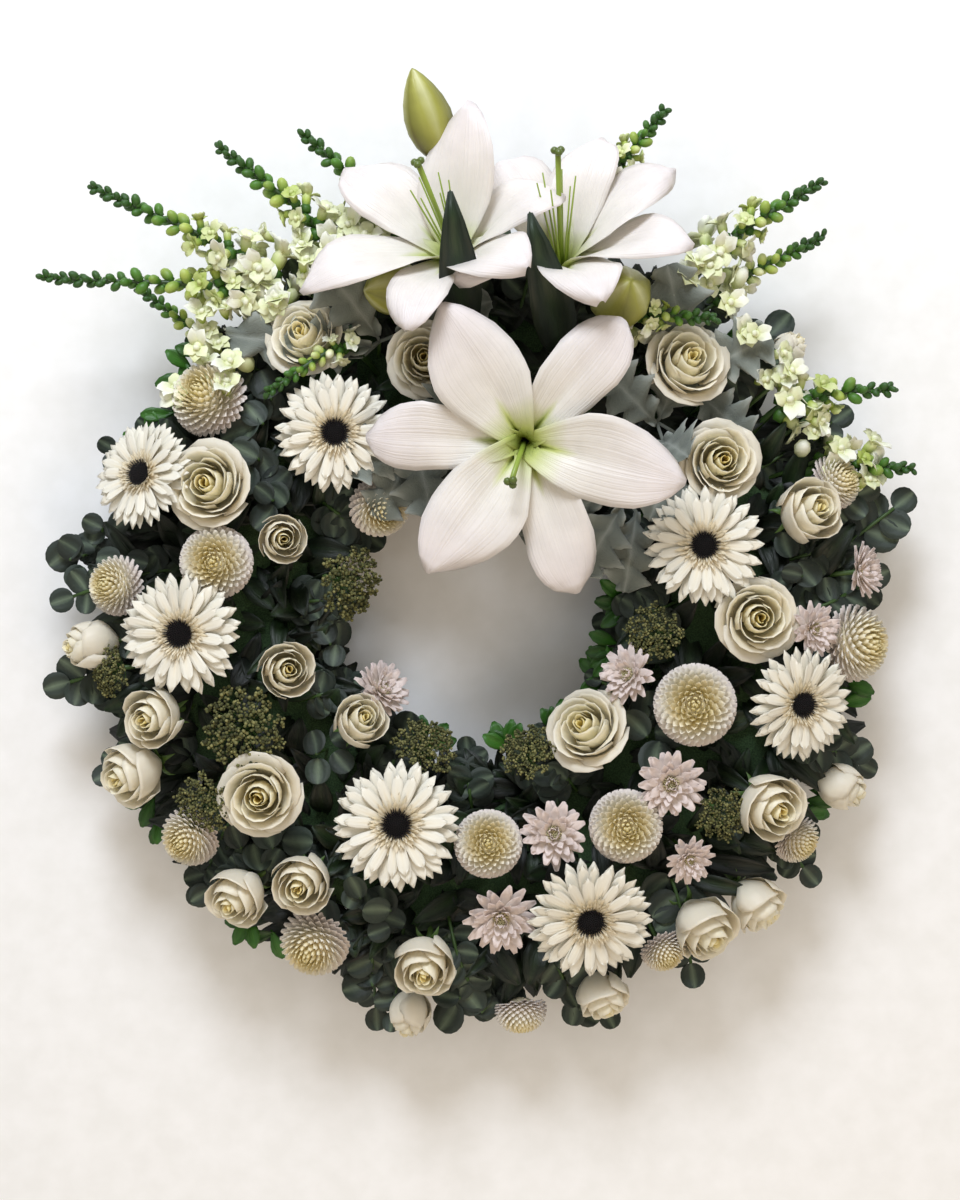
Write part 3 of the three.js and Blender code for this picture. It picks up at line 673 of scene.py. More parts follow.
# %% Chrysanthemum blooms
def floret(turn, down, start, length, half, curl, cup):
    """A floret that leaves the flower's middle at an angle down from its axis."""
    out = np.array([math.sin(down) * math.cos(turn), math.sin(down) * math.sin(turn), math.cos(down)])
    side = np.array([-math.sin(turn), math.cos(turn), 0.0])
    inward = np.cross(out, side)

    def surface(u, v):
        belly = 0.5 + 0.6 * np.sin(math.pi * (0.1 + 0.7 * v))
        width = half * belly * np.sqrt(np.clip(1.02 - v**5 * 0.8, 0, 1))
        along = start + length * v - 0.12 * half * u**2 * v**4
        over = curl * v**2 + cup * u**2 * np.clip(v, 0, 1)
        return along[:, None] * out + (width * u)[:, None] * side + over[:, None] * inward

    return surface


def pompon(seed, count=210):
    """A ball of radius about 1, of florets that are short at its top and long at its sides."""
    dice = np.random.default_rng(seed)
    parts = []
    for k in range(count):
        share = (k + 0.5) / count
        down = math.radians(118) * share**0.62
        size = 0.35 + 0.65 * share**0.5
        length = 0.62 * size * dice.uniform(0.92, 1.06)
        reach = 0.98 - 0.16 * (1 - share) ** 3
        shape = floret(GOLDEN * k, down, reach - length, length, 0.12 * size, 0.18 * size, 0.06 * size)
        part = formed(FLORET, shape, 0.016)
        part.points[:, 2] += 0.36
        # Tone grows as a floret sits further down the ball, so the lower florets take the ramp's darker
        # pinkish end, which paints their shade.
        part.tone = np.clip(share * 1.1 - 0.05 + 0.25 * part.uv[:, 1], 0, 1)
        parts.append(part)
    core = egg(BALL, (0, 0, 0.34), 0.62, 0.5, 0.4)
    return together(parts + [core])


TIERS = [
    (14, 1.0, 86, 0.13), (14, 0.94, 75, 0.125), (13, 0.82, 64, 0.115), (11, 0.66, 52, 0.1),
    (9, 0.46, 38, 0.08),
]


def spray_bloom(seed):
    """A daisy of radius 1: a tier is how many florets, their reach, their fall and half width."""
    dice = np.random.default_rng(seed)
    parts = []
    for count, reach, down, half in TIERS:
        for k in range(count):
            turn = TAU * k / count + dice.uniform(-0.12, 0.12)
            fall = math.radians(down + dice.uniform(-6, 6))
            shape = floret(turn, fall, 0.08, reach * dice.uniform(0.84, 1.03) - 0.08, half, 0.12, 0.06)
            part = formed(SMALL_PETAL, shape, 0.016)
            part.points[:, 2] += 0.1
            part.tone = np.clip(0.2 + 0.85 * part.uv[:, 1], 0, 1)
            parts.append(part)
    for k in range(46):
        reach = 0.2 * math.sqrt((k + 0.5) / 46)
        centre = (reach * math.cos(GOLDEN * k), reach * math.sin(GOLDEN * k), 0.36 - reach**2)
        parts.append(egg(GRAIN, centre, 0.03, 0.07, 0.12))
    core = egg(BALL, (0, 0, 0.14), 0.2, 0.18, 0.2)
    return together(parts + [core])


POMPONS = [pompon(1), pompon(2), pompon(3)]
SPRAYS = [spray_bloom(4), spray_bloom(5)]
print("a pompon has", len(POMPONS[0].faces), "faces, a spray bloom", len(SPRAYS[0].faces))

# %% [markdown]
# ## Chrysanthemums on their stems
# Blooms of one kind share a few models, and each copy is turned by another angle, so that their
# likeness isn't seen. One stem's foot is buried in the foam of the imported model, so its stem is
# worked out from the place of its bloom.

# %% Chrysanthemums in place
HIDDEN_FEET = {"spray_chrysanthemum_4": [stem_to(161, 177, 29), stem_to(176, 236, 30)]}


def bloom_objects(prefix, kinds, height, materials):
    """Puts a bloom on each stem of the nodes whose names start with a prefix."""
    for number, node in enumerate(sorted(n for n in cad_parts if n.startswith(prefix))):
        parts = []
        for k, stem in enumerate(HIDDEN_FEET.get(node) or stems_of(node)):
            base = stem.foot + stem.axis * (stem.top - height * stem.radius)
            kind = kinds[(number + k) % len(kinds)]
            parts.append(kind.moved(stand(base, stem.axis, stem.radius, number + 2 * k)))
            parts.append(tube([stem.foot, base + stem.axis * 0.2 * stem.radius], 2 * MM))
        to_object(f"{node}_blooms", together(parts), materials, [node])


bloom_objects("pompon_", POMPONS, 1.3, [POMPON, STEM_GREEN])
bloom_objects("spray_", SPRAYS, 0.45, [SPRAY, STEM_GREEN])


# %% [markdown]
# ## Lilies
# A lily petal is a long strip that rises from the throat, bends outwards and rolls back at its
# tip. The strip's direction turns along its length, and adding up small steps in that direction
# gives its middle line. Three broad petals lie over three narrow ones. Each has a groove along
# its midrib and a gentle wave along its edges.

# %% Lily petals and buds
ALONG = np.linspace(0, 1, 41)
BROAD = (
    [0, 0.15, 0.3, 0.45, 0.6, 0.74, 0.86, 0.95, 1],
    [0.1, 0.28, 0.66, 0.93, 1.0, 0.88, 0.62, 0.34, 0.1],
)
NARROW = ([0, 0.15, 0.3, 0.5, 0.7, 0.84, 0.94, 1], [0.14, 0.32, 0.62, 0.9, 1.0, 0.86, 0.56, 0.16])


def lily_petal(bearing, length, width, start, spread, curl, seed, broad):
    """A petal in millimetres: start is its first angle from the axis, spread its main one."""
    turn = math.radians(90 - bearing)
    bend = np.clip(ALONG / 0.36, 0, 1)
    rolled = curl * np.clip((ALONG - 0.5) / 0.5, 0, 1) ** 1.6
    lean_angle = np.radians(start + (spread - start) * bend**2 * (3 - 2 * bend) + rolled)
    reach_line = np.cumsum(np.sin(lean_angle)) * length / 41
    rise_line = np.cumsum(np.cos(lean_angle)) * length / 41

    def surface(u, v):
        half = width / 2 * np.interp(v, *(BROAD if broad else NARROW))
        half = half * (1 + 0.05 * np.sin(8 * v + seed + np.sign(u)))
        angle = np.interp(v, ALONG, lean_angle)
        fade = np.clip(1.15 - v, 0, 1)
        groove = -0.07 * width * np.exp(-((u / 0.12) ** 2)) * fade
        ribs = 0.012 * width * np.cos(4 * math.pi * u) * fade * (1 - u**2)
        cup = width * 0.14 * u**2 * np.cos(math.pi * np.clip(v, 0, 1) * 0.8)
        wave = 0.07 * width * np.abs(u) ** 3 * np.sin(8 * v + seed + 1.5 * np.sign(u))
        wave = wave * np.clip(2 * v, 0, 1)
        over = groove + ribs + cup + wave
        reach = 2 + np.interp(v, ALONG, reach_line) - np.cos(angle) * over
        rise = np.interp(v, ALONG, rise_line) + np.sin(angle) * over
        side = -half * u + 0.05 * length * np.sin(seed) * v**2
        return polar(turn, reach, side, rise)

    part = formed(LONG_PETAL, surface, -0.9)
    u, v = part.uv[:, 0] * 2 - 1, part.uv[:, 1]
    midrib = 0.35 * np.exp(-((u / 0.1) ** 2)) * np.clip(0.7 - v, 0, 1)
    part.tone = np.clip(1.25 * v - 0.12 - midrib, 0, 1)
    return part


def lily(petals, throat, tip, stamens):
    """A lily in millimetres: petals are bearing, length, width, spread and curl."""
    parts = []
    for k, (bearing, length, width, spread, curl) in enumerate(petals):
        start = 14 if k % 2 else 9
        seed = 1.9 * k + length
        parts.append(lily_petal(bearing, length, width, start, spread, curl, seed, k % 2 == 0))
    tip = Vector(tip)
    bow = Vector((0, 0, 0.55 * tip.z + 6)) + Vector((0.3 * tip.x, 0.3 * tip.y, 0))
    parts.append(tube([Vector((0, 0, 2)), bow, tip], [2.4, 1.9, 2.3], 8, 0.3))
    way = (tip - bow).normalized()
    side = way.orthogonal().normalized()
    for k in range(3):
        lobe = tip + (side * math.cos(TAU * k / 3) + way.cross(side) * math.sin(TAU * k / 3)) * 2.8
        parts.append(egg(BALL, lobe, 3.2, 2.8, 0.95, 1))
    for k in range(stamens):
        turn = TAU * k / stamens + 0.3
        out = Vector((math.cos(turn), math.sin(turn), 0))
        bends = [(2, 4), (7, throat), (15, 0.82 * tip.z)]
        points = [out * reach + Vector((0, 0, rise)) for reach, rise in bends]
        parts.append(tube(points, [1.1, 0.9, 0.6], 5, 0.35))
    return together(parts)


print("a lily petal has", len(lily_petal(0, 140, 70, 9, 76, 22, 1, True).faces), "faces")

# %% [markdown]
# ## Buds, stems and leaves
# A lily bud is six petals that still hold together, so a ball with shallow ribs gives it. The
# stems bend to meet their flowers from below, and a leaf is a blade folded along its midrib.

# %% Buds, stems and blades
def lily_bud(radius, length, seed=0.0):
    """A bud of six lobes whose seams meet in its tip."""

    def surface(a, h, r):
        ribs = 1 + 0.05 * np.cos(3 * a + seed) + 0.03 * np.cos(6 * a + seed)
        wide = radius * np.sin(math.pi * np.clip(0.5 + 0.5 * h, 0, 1) ** 0.8) ** 0.75 * ribs
        wide = np.maximum(wide, 0.25 * radius * r)
        return xyz(wide * np.cos(a), wide * np.sin(a), length * (0.5 + 0.5 * h))

    bud = rounded(BUD, surface, 0.5, 2)
    seam = np.cos(3 * bud.uv[:, 0] * TAU + seed)
    bud.tone = np.clip(0.45 + 0.3 * seam + 0.35 * (bud.uv[:, 1] - 0.4), 0, 1)
    return bud


def bent_stem(foot, place, axis, radius):
    """A stem that bends to meet a flower's base along the flower's axis."""
    bend = place - axis * 46 * MM
    end = place + axis * 2 * MM
    steps = np.linspace(0, 1, 9)
    points = [foot * (1 - t) ** 2 + bend * 2 * t * (1 - t) + end * t**2 for t in steps]
    return tube(points, radius, 8, 0.6, 3)


def blade(start, end, width, bend=0.12, tone=0.5, material=3, wave=0.0, outline=0.5):
    """A leaf from start to end: outline is the share of its length where it is widest."""

    def surface(u, v):
        power = math.log(0.5) / math.log(outline)
        wide = 0.5 * np.sin(math.pi * np.clip(0.03 + 0.94 * v, 0, 1) ** power) ** 0.8
        midrib = 0.02 * np.exp(-((u / 0.2) ** 2))
        rise = bend * np.sin(math.pi * np.clip(v, 0, 1)) + 0.12 * wide * u**2 - midrib
        return xyz(wide * u, v, rise + wave * np.sin(7 * v) * u)

    part = formed(LEAF, surface, 0.012, tone, material)
    ridge = (1 - np.abs(part.uv[:, 0] * 2 - 1)) ** 4
    part.tone = np.clip(tone + 0.3 * ridge + 0.1 * (part.uv[:, 1] - 0.5), 0, 1)
    return part.moved(lay(start, end, width))


print("a lily bud has", len(lily_bud(20, 70).faces), "faces")

# %% [markdown]
# ## The three lilies
# The front lily faces the viewer and its petals lie nearly flat. The two behind it stand higher
# and lean outwards, so their petals are set more steeply and roll back further.

# %% Lilies in place
# The lily leaves take the near-black leaf finish, which is partly painted shade.
LILY_MATERIALS = [LILY, LILY_GREEN, LILY_BUD, LEAF_GREEN_AND_SHADE]


def place_lily(node, flower, place, axis, foot, buds=(), leaves=()):
    """Makes the piece of one lily stem, with its flower, its buds and its leaves."""
    parts = [flower.moved(stand(place, axis, MM)), bent_stem(foot, place, axis, 4.4 * MM)]
    for bud_place, bud_axis, bud_foot, radius, length in buds:
        parts.append(lily_bud(radius, length, radius).moved(stand(bud_place, bud_axis, MM, 0.4)))
        parts.append(bent_stem(bud_foot, bud_place, bud_axis, 2.5 * MM))
    for start, end, width in leaves:
        parts.append(blade(start, end, width * MM, outline=0.4))
    return to_object(f"{node}_bloom", together(parts), LILY_MATERIALS, [node])


front = spot(14, 137, dome(137) + 44)
front_foot = spot(15, 156, 36)
front_axis = (front - front_foot).normalized()
place_lily("lily_front", lily([
    (328, 142, 70, 76, 22), (38, 136, 56, 80, 22), (100, 146, 70, 76, 22),
    (158, 138, 56, 82, 28), (214, 142, 72, 74, 26), (276, 136, 54, 80, 26),
], 44, (-8, -26, 66), 0), front - front_axis * 30 * MM, front_axis, front_foot)
place_lily("lily_left", lily([
    (12, 138, 66, 34, 26), (66, 122, 50, 56, 80), (126, 118, 58, 60, 50),
    (188, 122, 50, 66, 60), (238, 150, 56, 64, 60), (300, 130, 56, 46, 40),
], 44, (-4, 2, 112), 6), spot(357, 266, 108), lean(338, 44), spot(357, 212, 36), buds=[
    (spot(355, 358, 112), lean(342, 66), spot(357, 258, 92), 19, 74),
    (spot(350, 262, 100), lean(262, 52), spot(357, 214, 62), 22, 56),
], leaves=[(spot(357, 226, 116), spot(356, 318, 190), 32)])
place_lily("lily_right", lily([
    (66, 134, 64, 50, 50), (106, 134, 54, 60, 50), (160, 118, 60, 62, 60),
    (232, 118, 50, 62, 60), (322, 130, 60, 44, 84), (18, 128, 52, 38, 60),
], 44, (2, 6, 116), 6), spot(14, 268, 104), lean(354, 48), spot(14, 214, 36), buds=[
    (spot(23, 262, 110), lean(40, 18), spot(15, 218, 64), 25, 58),
], leaves=[(spot(17, 216, 104), spot(7, 306, 176), 34)])
print("three lilies stand over the dome at", round(dome(137)), "mm")


# %% [markdown]
# ## Snapdragons
# A snapdragon opens from the bottom up: two-lipped florets low on the spike, then pale buds,
# then green ones that get smaller to the tip. The spike follows a curve through its foot, its
# middle and its tip.

# %% Snapdragon florets
def curve_through(points):
    """A function of a share from 0 to 1 along a smooth centripetal curve through three points."""
    knots = [np.array(p[:]) for p in points]
    knots = [2 * knots[0] - knots[1], *knots, 2 * knots[2] - knots[1]]

    def at(share):
        k = 1 if share < 0.5 else 2
        t = 2 * share - (k - 1)
        before, start, end, after = knots[k - 1:k + 3]
        gaps = [np.linalg.norm(b - a) ** 0.5 for a, b in ((before, start), (start, end), (end, after))]
        leave = (start - before) / gaps[0] - (end - before) / (gaps[0] + gaps[1]) + (end - start) / gaps[1]
        arrive = (end - start) / gaps[1] - (after - start) / (gaps[1] + gaps[2]) + (after - end) / gaps[2]
        leave, arrive = leave * gaps[1], arrive * gaps[1]
        curved = start + leave * t + (3 * (end - start) - 2 * leave - arrive) * t**2
        return Vector(curved + (2 * (start - end) + leave + arrive) * t**3)

    return at


LOBES = [(65, 40, 0.5), (115, 40, 0.5), (225, 62, 0.42), (270, 70, 0.46), (315, 62, 0.42)]


def snap_floret():
    """An open floret of length about 1: a tube, two upper lobes and three lower ones."""

    def throat(a, h, r):
        wide = (0.15 + 0.07 * h) * r
        return xyz(wide * np.cos(a), wide * np.sin(a), 0.35 + 0.35 * h)

    def palate(a, h, r):
        return xyz(0.13 * r * np.cos(a), -0.1 + 0.1 * r * np.sin(a), 0.68 + 0.1 * h)

    parts = [rounded(BALL, throat), rounded(GRAIN, palate)]
    for turn, down, length in LOBES:
        outline = floret(math.radians(turn), math.radians(down), 0.05, length, 0.19, -0.14, 0.08)
        lobe = formed(FLORET, outline, 0.02)
        lobe.points[:, 2] += 0.55
        parts.append(lobe)
    whole = together(parts)
    whole.tone = np.clip(0.3 + 0.8 * whole.points[:, 2], 0, 1)
    return whole


def snap_bud(a, h, r):
    return xyz(0.3 * r * np.cos(a), 0.3 * r * np.sin(a) + 0.06 * h, 0.46 + 0.42 * h)


SNAP_OPEN = snap_floret()
SNAP_BUD = rounded(BALL, snap_bud)
SNAP_BUD.tone = 0.6 + 0.4 * SNAP_BUD.uv[:, 1]
SNAP_CALYX = egg(GRAIN, (0, 0, 0.14), 0.24, 0.2, 0.15)
print("an open floret has", len(SNAP_OPEN.faces), "faces, a bud", len(SNAP_BUD.faces))


# %% [markdown]
# ## The spikes
# Florets leave the spike on a spiral and tilt towards its tip. Their distance shrinks with their
# size, so the tip's buds crowd together as they do on the plant.

# %% Snapdragon spikes
def spike(curve, thick, thin, opened, seed):
    """Florets round a curve: opened is the share of them that are in bloom."""
    dice = np.random.default_rng(seed)
    radii = [2.8 * MM] * 7 + [2.1 * MM] * 4 + [1.4 * MM] * 3
    parts = [tube([curve(t) for t in np.linspace(0, 0.99, 14)], radii, 6, 0.1)]
    length = (curve(0.42) - curve(1)).length / MM
    share = 0.0
    k = 0
    while share < 1:
        t = 0.42 + 0.58 * share
        size = thick + (thin - thick) * share**0.7
        way = (curve(min(1, t + 0.02)) - curve(t - 0.02)).normalized()
        aside = way.cross(Vector((0, 0, 1))).normalized()
        turn = GOLDEN * k
        out = aside * math.cos(turn) + way.cross(aside) * math.sin(turn)
        axis = (out * (1.1 - 0.4 * share) + way * (0.45 + 0.5 * share)).normalized()
        in_bloom = share < opened
        scale = size * (1.55 if in_bloom else 1.3) * dice.uniform(0.85, 1.1)
        kind = SNAP_OPEN if in_bloom else SNAP_BUD
        place = curve(t) + out * 0.08 * size * MM
        part = kind.moved(stand(place, axis, scale * MM, dice.uniform(0, TAU)))
        part.tone = np.clip(kind.tone * (1.02 - 0.95 * np.clip((share - 0.25) / 0.55, 0, 1)), 0.06, 1)
        parts += [part, SNAP_CALYX.moved(stand(place, axis, scale * MM))]
        share += (0.3 if in_bloom else 0.34) * size / length
        k += 1
    return together(parts)


SPIKES = [
    [((322, 236, 40), (326, 300, 84), (308, 434, 104), 20, 5),
     ((322, 236, 40), (316, 306, 62), (314, 378, 66), 11, 5)],
    [((328, 238, 40), (327, 330, 92), (318, 452, 112), 20, 5)],
    [((338, 240, 40), (338, 322, 92), (331, 420, 112), 20, 5),
     ((338, 240, 40), (347, 322, 80), (340, 405, 94), 20, 5)],
    [((22, 240, 40), (17, 360, 96), (20, 421, 112), 14, 5)],
    [((32, 240, 40), (33, 345, 90), (38, 431, 112), 20, 5),
     ((32, 240, 40), (37, 330, 74), (42, 408, 82), 12, 5)],
    [((26, 214, 40), (27, 262, 116), (38, 292, 134), 13, 5)],
    [((58, 238, 40), (55, 296, 84), (61, 372, 98), 20, 5),
     ((58, 238, 40), (66, 300, 66), (71, 364, 78), 20, 5)],
    [((338, 206, 40), (333, 236, 118), (317, 238, 136), 11, 5)],
]
for number, spikes in enumerate(SPIKES):
    parts = []
    for k, (foot, middle, tip, thick, thin) in enumerate(spikes):
        curve = curve_through([spot(*foot), spot(*middle), spot(*tip)])
        parts.append(spike(curve, thick * 1.15, thin * 1.2, 0.45 if thick > 12 else 0.25, 10 * number + k))
    node = f"snapdragon_{number + 1}"
    to_object(f"{node}_spikes", together(parts), [SNAP, STEM_GREEN], [node])

# %% [markdown]
# ## Florets between the spikes
# Low on the stems the florets of neighbouring spikes mix. A few loose groups of them, each on a
# short stalk of its own, fill that place more simply than a dozen more spikes would.

# %% Low snapdragon florets
low_florets = []
for bearing, reach, height in (
    (312, 300, 92), (318, 318, 88), (326, 296, 100), (333, 306, 102), (306, 296, 84),
    (338, 288, 104), (329, 330, 86), (314, 276, 98), (52, 290, 92), (60, 292, 88), (64, 316, 76),
    (45, 300, 96), (30, 300, 104), (340, 322, 92), (69, 330, 70), (36, 318, 96), (344, 300, 100),
):
    for k in range(4):
        place = spot(bearing + chance.uniform(-3, 3), reach + chance.uniform(-14, 14), height - 4 * k)
        axis = lean(bearing + chance.uniform(-60, 60), chance.uniform(10, 60))
        kind = SNAP_OPEN if k < 3 else SNAP_BUD
        size = chance.uniform(22, 30) * MM
        low_florets.append(kind.moved(stand(place, axis, size, chance.uniform(0, TAU))))
        if k == 0:
            foot = spot(bearing, min(reach, OUTER - 10), FOAM_TOP - 8)
            low_florets.append(tube([foot, place], 1.8 * MM, 6, 0.3))
to_object("snapdragon_between", together(low_florets), [SNAP, STEM_GREEN])


# %% [markdown]
# ## Umbels
# An umbel's stem ends in many thin rays, and each ray carries a tuft of grains. A grain is far
# too small to need more than a ball of a dozen faces, so the tufts stay light.

# %% Umbel heads
def umbel(seed, tufts=34, grains=22):
    """A head of radius about 1, of tufts of grains on rays from its base."""
    dice = np.random.default_rng(seed)
    parts = []
    for k in range(tufts):
        reach = 0.86 * math.sqrt((k + 0.4) / tufts)
        turn = GOLDEN * k + 0.5
        rise = 0.86 - 0.36 * reach**2 + dice.uniform(-0.04, 0.04)
        middle = Vector((reach * math.cos(turn), reach * math.sin(turn), rise))
        parts.append(tube([Vector((0, 0, 0.02)), middle * 0.96], 0.012, 4, 0.6))
        for _ in range(grains):
            way = Vector(dice.normal(0, 1, 3))
            way.z = abs(way.z) * 0.7
            place = middle + way.normalized() * 0.14 * dice.uniform(0.4, 1.1)
            size = dice.uniform(0.03, 0.052)
            grain = GRAIN[0] * size + np.array(place)
            parts.append(Shape(grain, GRAIN[1], GRAIN[0][:, :2], dice.uniform(0, 1)))
    return together(parts)


UMBELS = [umbel(1), umbel(2)]
bloom_objects("umbel_", UMBELS, 0.98, [UMBEL, STEM_GREEN])


# %% [markdown]
# ## Dusty miller
# Dusty miller leaves are felted and deeply lobed, like a feather cut from wool. The lobes come
# from a wave in the leaf's width, which needs a finer blank than the smooth leaves do.

# %% Dusty miller
FELT_LEAF = sheet_blank(8, 36)


def lobed_leaf(start, end, width, seed=0.0):
    """A felted leaf with rounded lobes along both edges, each lobe raised along its vein."""
    turns = 3.5

    def surface(u, v):
        body = np.interp(v, [0, 0.12, 0.35, 0.65, 0.88, 1], [0.1, 0.3, 0.85, 1.0, 0.8, 0.35])
        phase = TAU * turns * (v - 0.1 * np.abs(u)) + 0.9 * np.sign(u) + seed
        small = 0.06 * np.cos(3 * phase)
        wide = 0.5 * body * (0.76 + 0.24 * np.cos(phase) + small)
        rise = 0.1 * np.sin(math.pi * np.clip(v, 0, 1)) + 0.05 * np.abs(u) * np.cos(phase)
        rise = rise + 0.07 * u**2 * math.sin(seed) - 0.03 * np.exp(-((u / 0.15) ** 2))
        return xyz(wide * u, v + 0.1 * np.abs(u) * v * (1 - v), rise)

    part = formed(FELT_LEAF, surface, 0.028)
    u = part.uv[:, 0] * 2 - 1
    veins = np.cos(TAU * turns * (part.uv[:, 1] - 0.1 * np.abs(u)) + 0.9 * np.sign(u) + seed)
    midrib = 0.4 * np.exp(-((u / 0.12) ** 2))
    part.tone = np.clip(0.3 + 0.4 * np.abs(u) ** 3 + 0.2 * veins * np.abs(u) + midrib, 0, 1)
    return part.moved(lay(start, end, width))


def fan(name, foot, knee, leaves, nodes=()):
    """Makes the piece of a few felted leaves that spread from one stem's top."""
    parts = [tube([foot, foot.lerp(knee, 0.5), knee], 1.7 * MM, 6, 0.5)]
    for k, (start, end, width) in enumerate(leaves):
        parts.append(tube([knee, start, start.lerp(end, 0.12)], 1.5 * MM, 6, 0.5, 0))
        parts.append(lobed_leaf(start, end, width * MM, k))
    to_object(f"{name}_leaves", together(parts), [FELT, STEM_GREEN], nodes)


fan("dusty_miller_left", spot(343, 166, 36), spot(342, 152, 98), [
    (spot(340, 150, 108), spot(335, 88, 118), 56), (spot(345, 150, 106), spot(356, 182, 134), 50),
    (spot(341, 156, 102), spot(318, 152, 122), 50), (spot(338, 140, 104), spot(314, 112, 108), 46),
], ["dusty_miller_left"])
fan("dusty_miller_right", spot(44, 206, 36), spot(42, 208, 92), [
    (spot(42, 212, 94), spot(38, 262, 98), 56), (spot(46, 200, 98), spot(52, 202, 136), 52),
    (spot(48, 214, 90), spot(60, 152, 118), 54), (spot(42, 206, 96), spot(26, 214, 128), 52),
], ["dusty_miller_right"])
fan("dusty_miller_top", spot(338, 222, 40), spot(340, 232, 92), [
    (spot(340, 236, 96), spot(336, 300, 128), 60), (spot(338, 230, 96), spot(324, 262, 112), 52),
    (spot(344, 232, 96), spot(2, 246, 120), 56), (spot(336, 226, 92), spot(318, 300, 92), 46),
])
fan("dusty_miller_corner", spot(40, 244, 40), spot(40, 256, 84), [
    (spot(38, 262, 90), spot(28, 310, 120), 60), (spot(42, 262, 88), spot(46, 318, 100), 54),
    (spot(44, 248, 84), spot(56, 254, 88), 50),
])
fan("dusty_miller_inner", spot(50, 160, 42), spot(48, 150, 76), [
    (spot(46, 142, 84), spot(26, 72, 92), 44), (spot(52, 142, 86), spot(66, 88, 90), 52),
    (spot(42, 140, 80), spot(4, 66, 84), 40), (spot(56, 150, 80), spot(80, 116, 86), 46),
])


# %% [markdown]
# ## Eucalyptus
# Eucalyptus leaves are thin discs in pairs along a twig. A grid pinched into a disc keeps its
# rows along the midrib, so the same grid gives the light streak there.

# %% Eucalyptus twigs
def disc_leaf(place, axis, size, roll, tone=0.6):
    """A round, slightly cupped leaf whose stalk end is at the place."""

    def surface(u, v):
        wide = 0.5 * np.sin(math.pi * np.clip(v, 0.01, 0.99)) ** 0.9
        along = 0.5 - 0.5 * np.cos(math.pi * v)
        return xyz(wide * u, along, 0.1 * (u**2 * wide * 2 + (2 * along - 1) ** 2) - 0.1)

    part = formed(DISC, surface, 0.02, tone, 0)
    midrib = 0.7 * np.exp(-(((part.uv[:, 0] * 2 - 1) / 0.14) ** 2))
    part.tone = np.clip(tone - 0.4 + midrib + 0.2 * part.uv[:, 1], 0, 1)
    return part.moved(stand(place, axis, size * MM, roll))


def sprig(curve, start, pairs, size, seed):
    """A twig along a curve, with pairs of disc leaves from a share of its length and one at its tip."""
    dice = np.random.default_rng(seed)
    parts = [tube([curve(t) for t in np.linspace(0, 0.97, 9)], 1.5 * MM, 6, 0.3)]
    for k in range(2 * pairs + 1):
        t = min(0.97, start + (1 - start) * (k // 2) / pairs)
        way = (curve(min(1, t + 0.03)) - curve(t - 0.03)).normalized()
        heading = math.atan2(way.y, way.x) - math.pi / 2
        heading += 0 if k == 2 * pairs else (1.1 if k % 2 else -1.1) + dice.uniform(-0.25, 0.25)
        axis = (Vector((0, 0, 1)) + Vector(dice.uniform(-0.35, 0.35, 3))).normalized()
        parts.append(disc_leaf(curve(t), axis, size * dice.uniform(0.85, 1.1) * (1.1 - 0.25 * t), heading))
    return together(parts)


EUCALYPTUS_MATERIALS = [EUCALYPTUS, STEM_GREEN]
TWIGS = [
    ((262, 238, 42), (262, 290, 56), (261, 336, 62)),
    ((84, 240, 42), (79, 296, 58), (75, 346, 66)),
]
for number, (foot, middle, tip) in enumerate(TWIGS):
    curve = curve_through([spot(*foot), spot(*middle), spot(*tip)])
    node = f"eucalyptus_{number + 1}"
    twig = sprig(curve, 0.42, 4, 28, number)
    to_object(f"{node}_leaves", twig, EUCALYPTUS_MATERIALS, [node])

# %% [markdown]
# ## Eucalyptus between the blooms
# Most of the grey-green between the flowers is eucalyptus: clusters of a few discs where a twig
# ends between two blooms, and short sprigs all round the ring, every fourth of them inwards.

# %% Clusters and sprigs
SPRIGS = 46
between = []
for bearing, reach, height, size in (
    (316, 241, 92, 26), (311, 235, 96, 30), (305, 215, 100, 27), (300, 190, 104, 26), (229, 161, 98, 28),
    (259, 124, 78, 26), (226, 258, 88, 26), (222, 242, 92, 26), (162, 125, 76, 24), (150, 138, 84, 24),
    (125, 165, 92, 30), (279, 335, 58, 26), (279, 322, 60, 26), (282, 312, 66, 24), (81, 251, 94, 24),
    (183, 310, 66, 28), (178, 310, 62, 28), (198, 248, 90, 26), (278, 285, 84, 24), (205, 237, 92, 24),
    (165, 315, 60, 26), (198, 300, 66, 28), (206, 273, 74, 26), (128, 300, 66, 26), (110, 300, 62, 26),
):
    for k in range(4):
        place = spot(bearing + chance.uniform(-2, 2), reach + chance.uniform(-8, 8), height - 5 * k)
        axis = (Vector((0, 0, 1)) + Vector(chance.uniform(-0.5, 0.5, 3))).normalized()
        wide = size * chance.uniform(0.7, 1.05)
        roll = 1.7 * k + chance.uniform(0, 1.5)
        between.append(disc_leaf(place, axis, wide, roll, chance.uniform(0.35, 0.8)))
        if k == 0:
            between.append(tube([spot(bearing, reach, FOAM_TOP - 10), place], 1.2 * MM, 5, 0.3))
for k in range(SPRIGS):
    bearing = 360 * k / SPRIGS + chance.uniform(-3, 3)
    inside = k % 4 == 3
    first, last = (165, 112 + chance.uniform(-8, 10)) if inside else (228, 312 + chance.uniform(-10, 22))
    turn = chance.uniform(-8, 8)
    curve = curve_through([
        spot(bearing, first, 52),
        spot(bearing + turn / 2, (first + last) / 2, 70 + chance.uniform(-10, 14)),
        spot(bearing + turn, last, 52 + chance.uniform(-16, 22)),
    ])
    between.append(sprig(curve, 0.3, 5, chance.uniform(19, 27), k))
to_object("eucalyptus_between", together(between), EUCALYPTUS_MATERIALS)


# %% [markdown]
# ## The bed of leaves
# Before the flowers go in, a florist covers the foam with short sprigs of leaves, and the two
# sides of the ring with longer ones. They are what the eye sees as dark gaps between blooms: their
# near-black colour is the leaves' own dark green with painted shade for those gaps.

# %% Leaves round the ring
OUTER_LEAVES = 420
INNER_LEAVES = 190
BED_LEAVES = 520


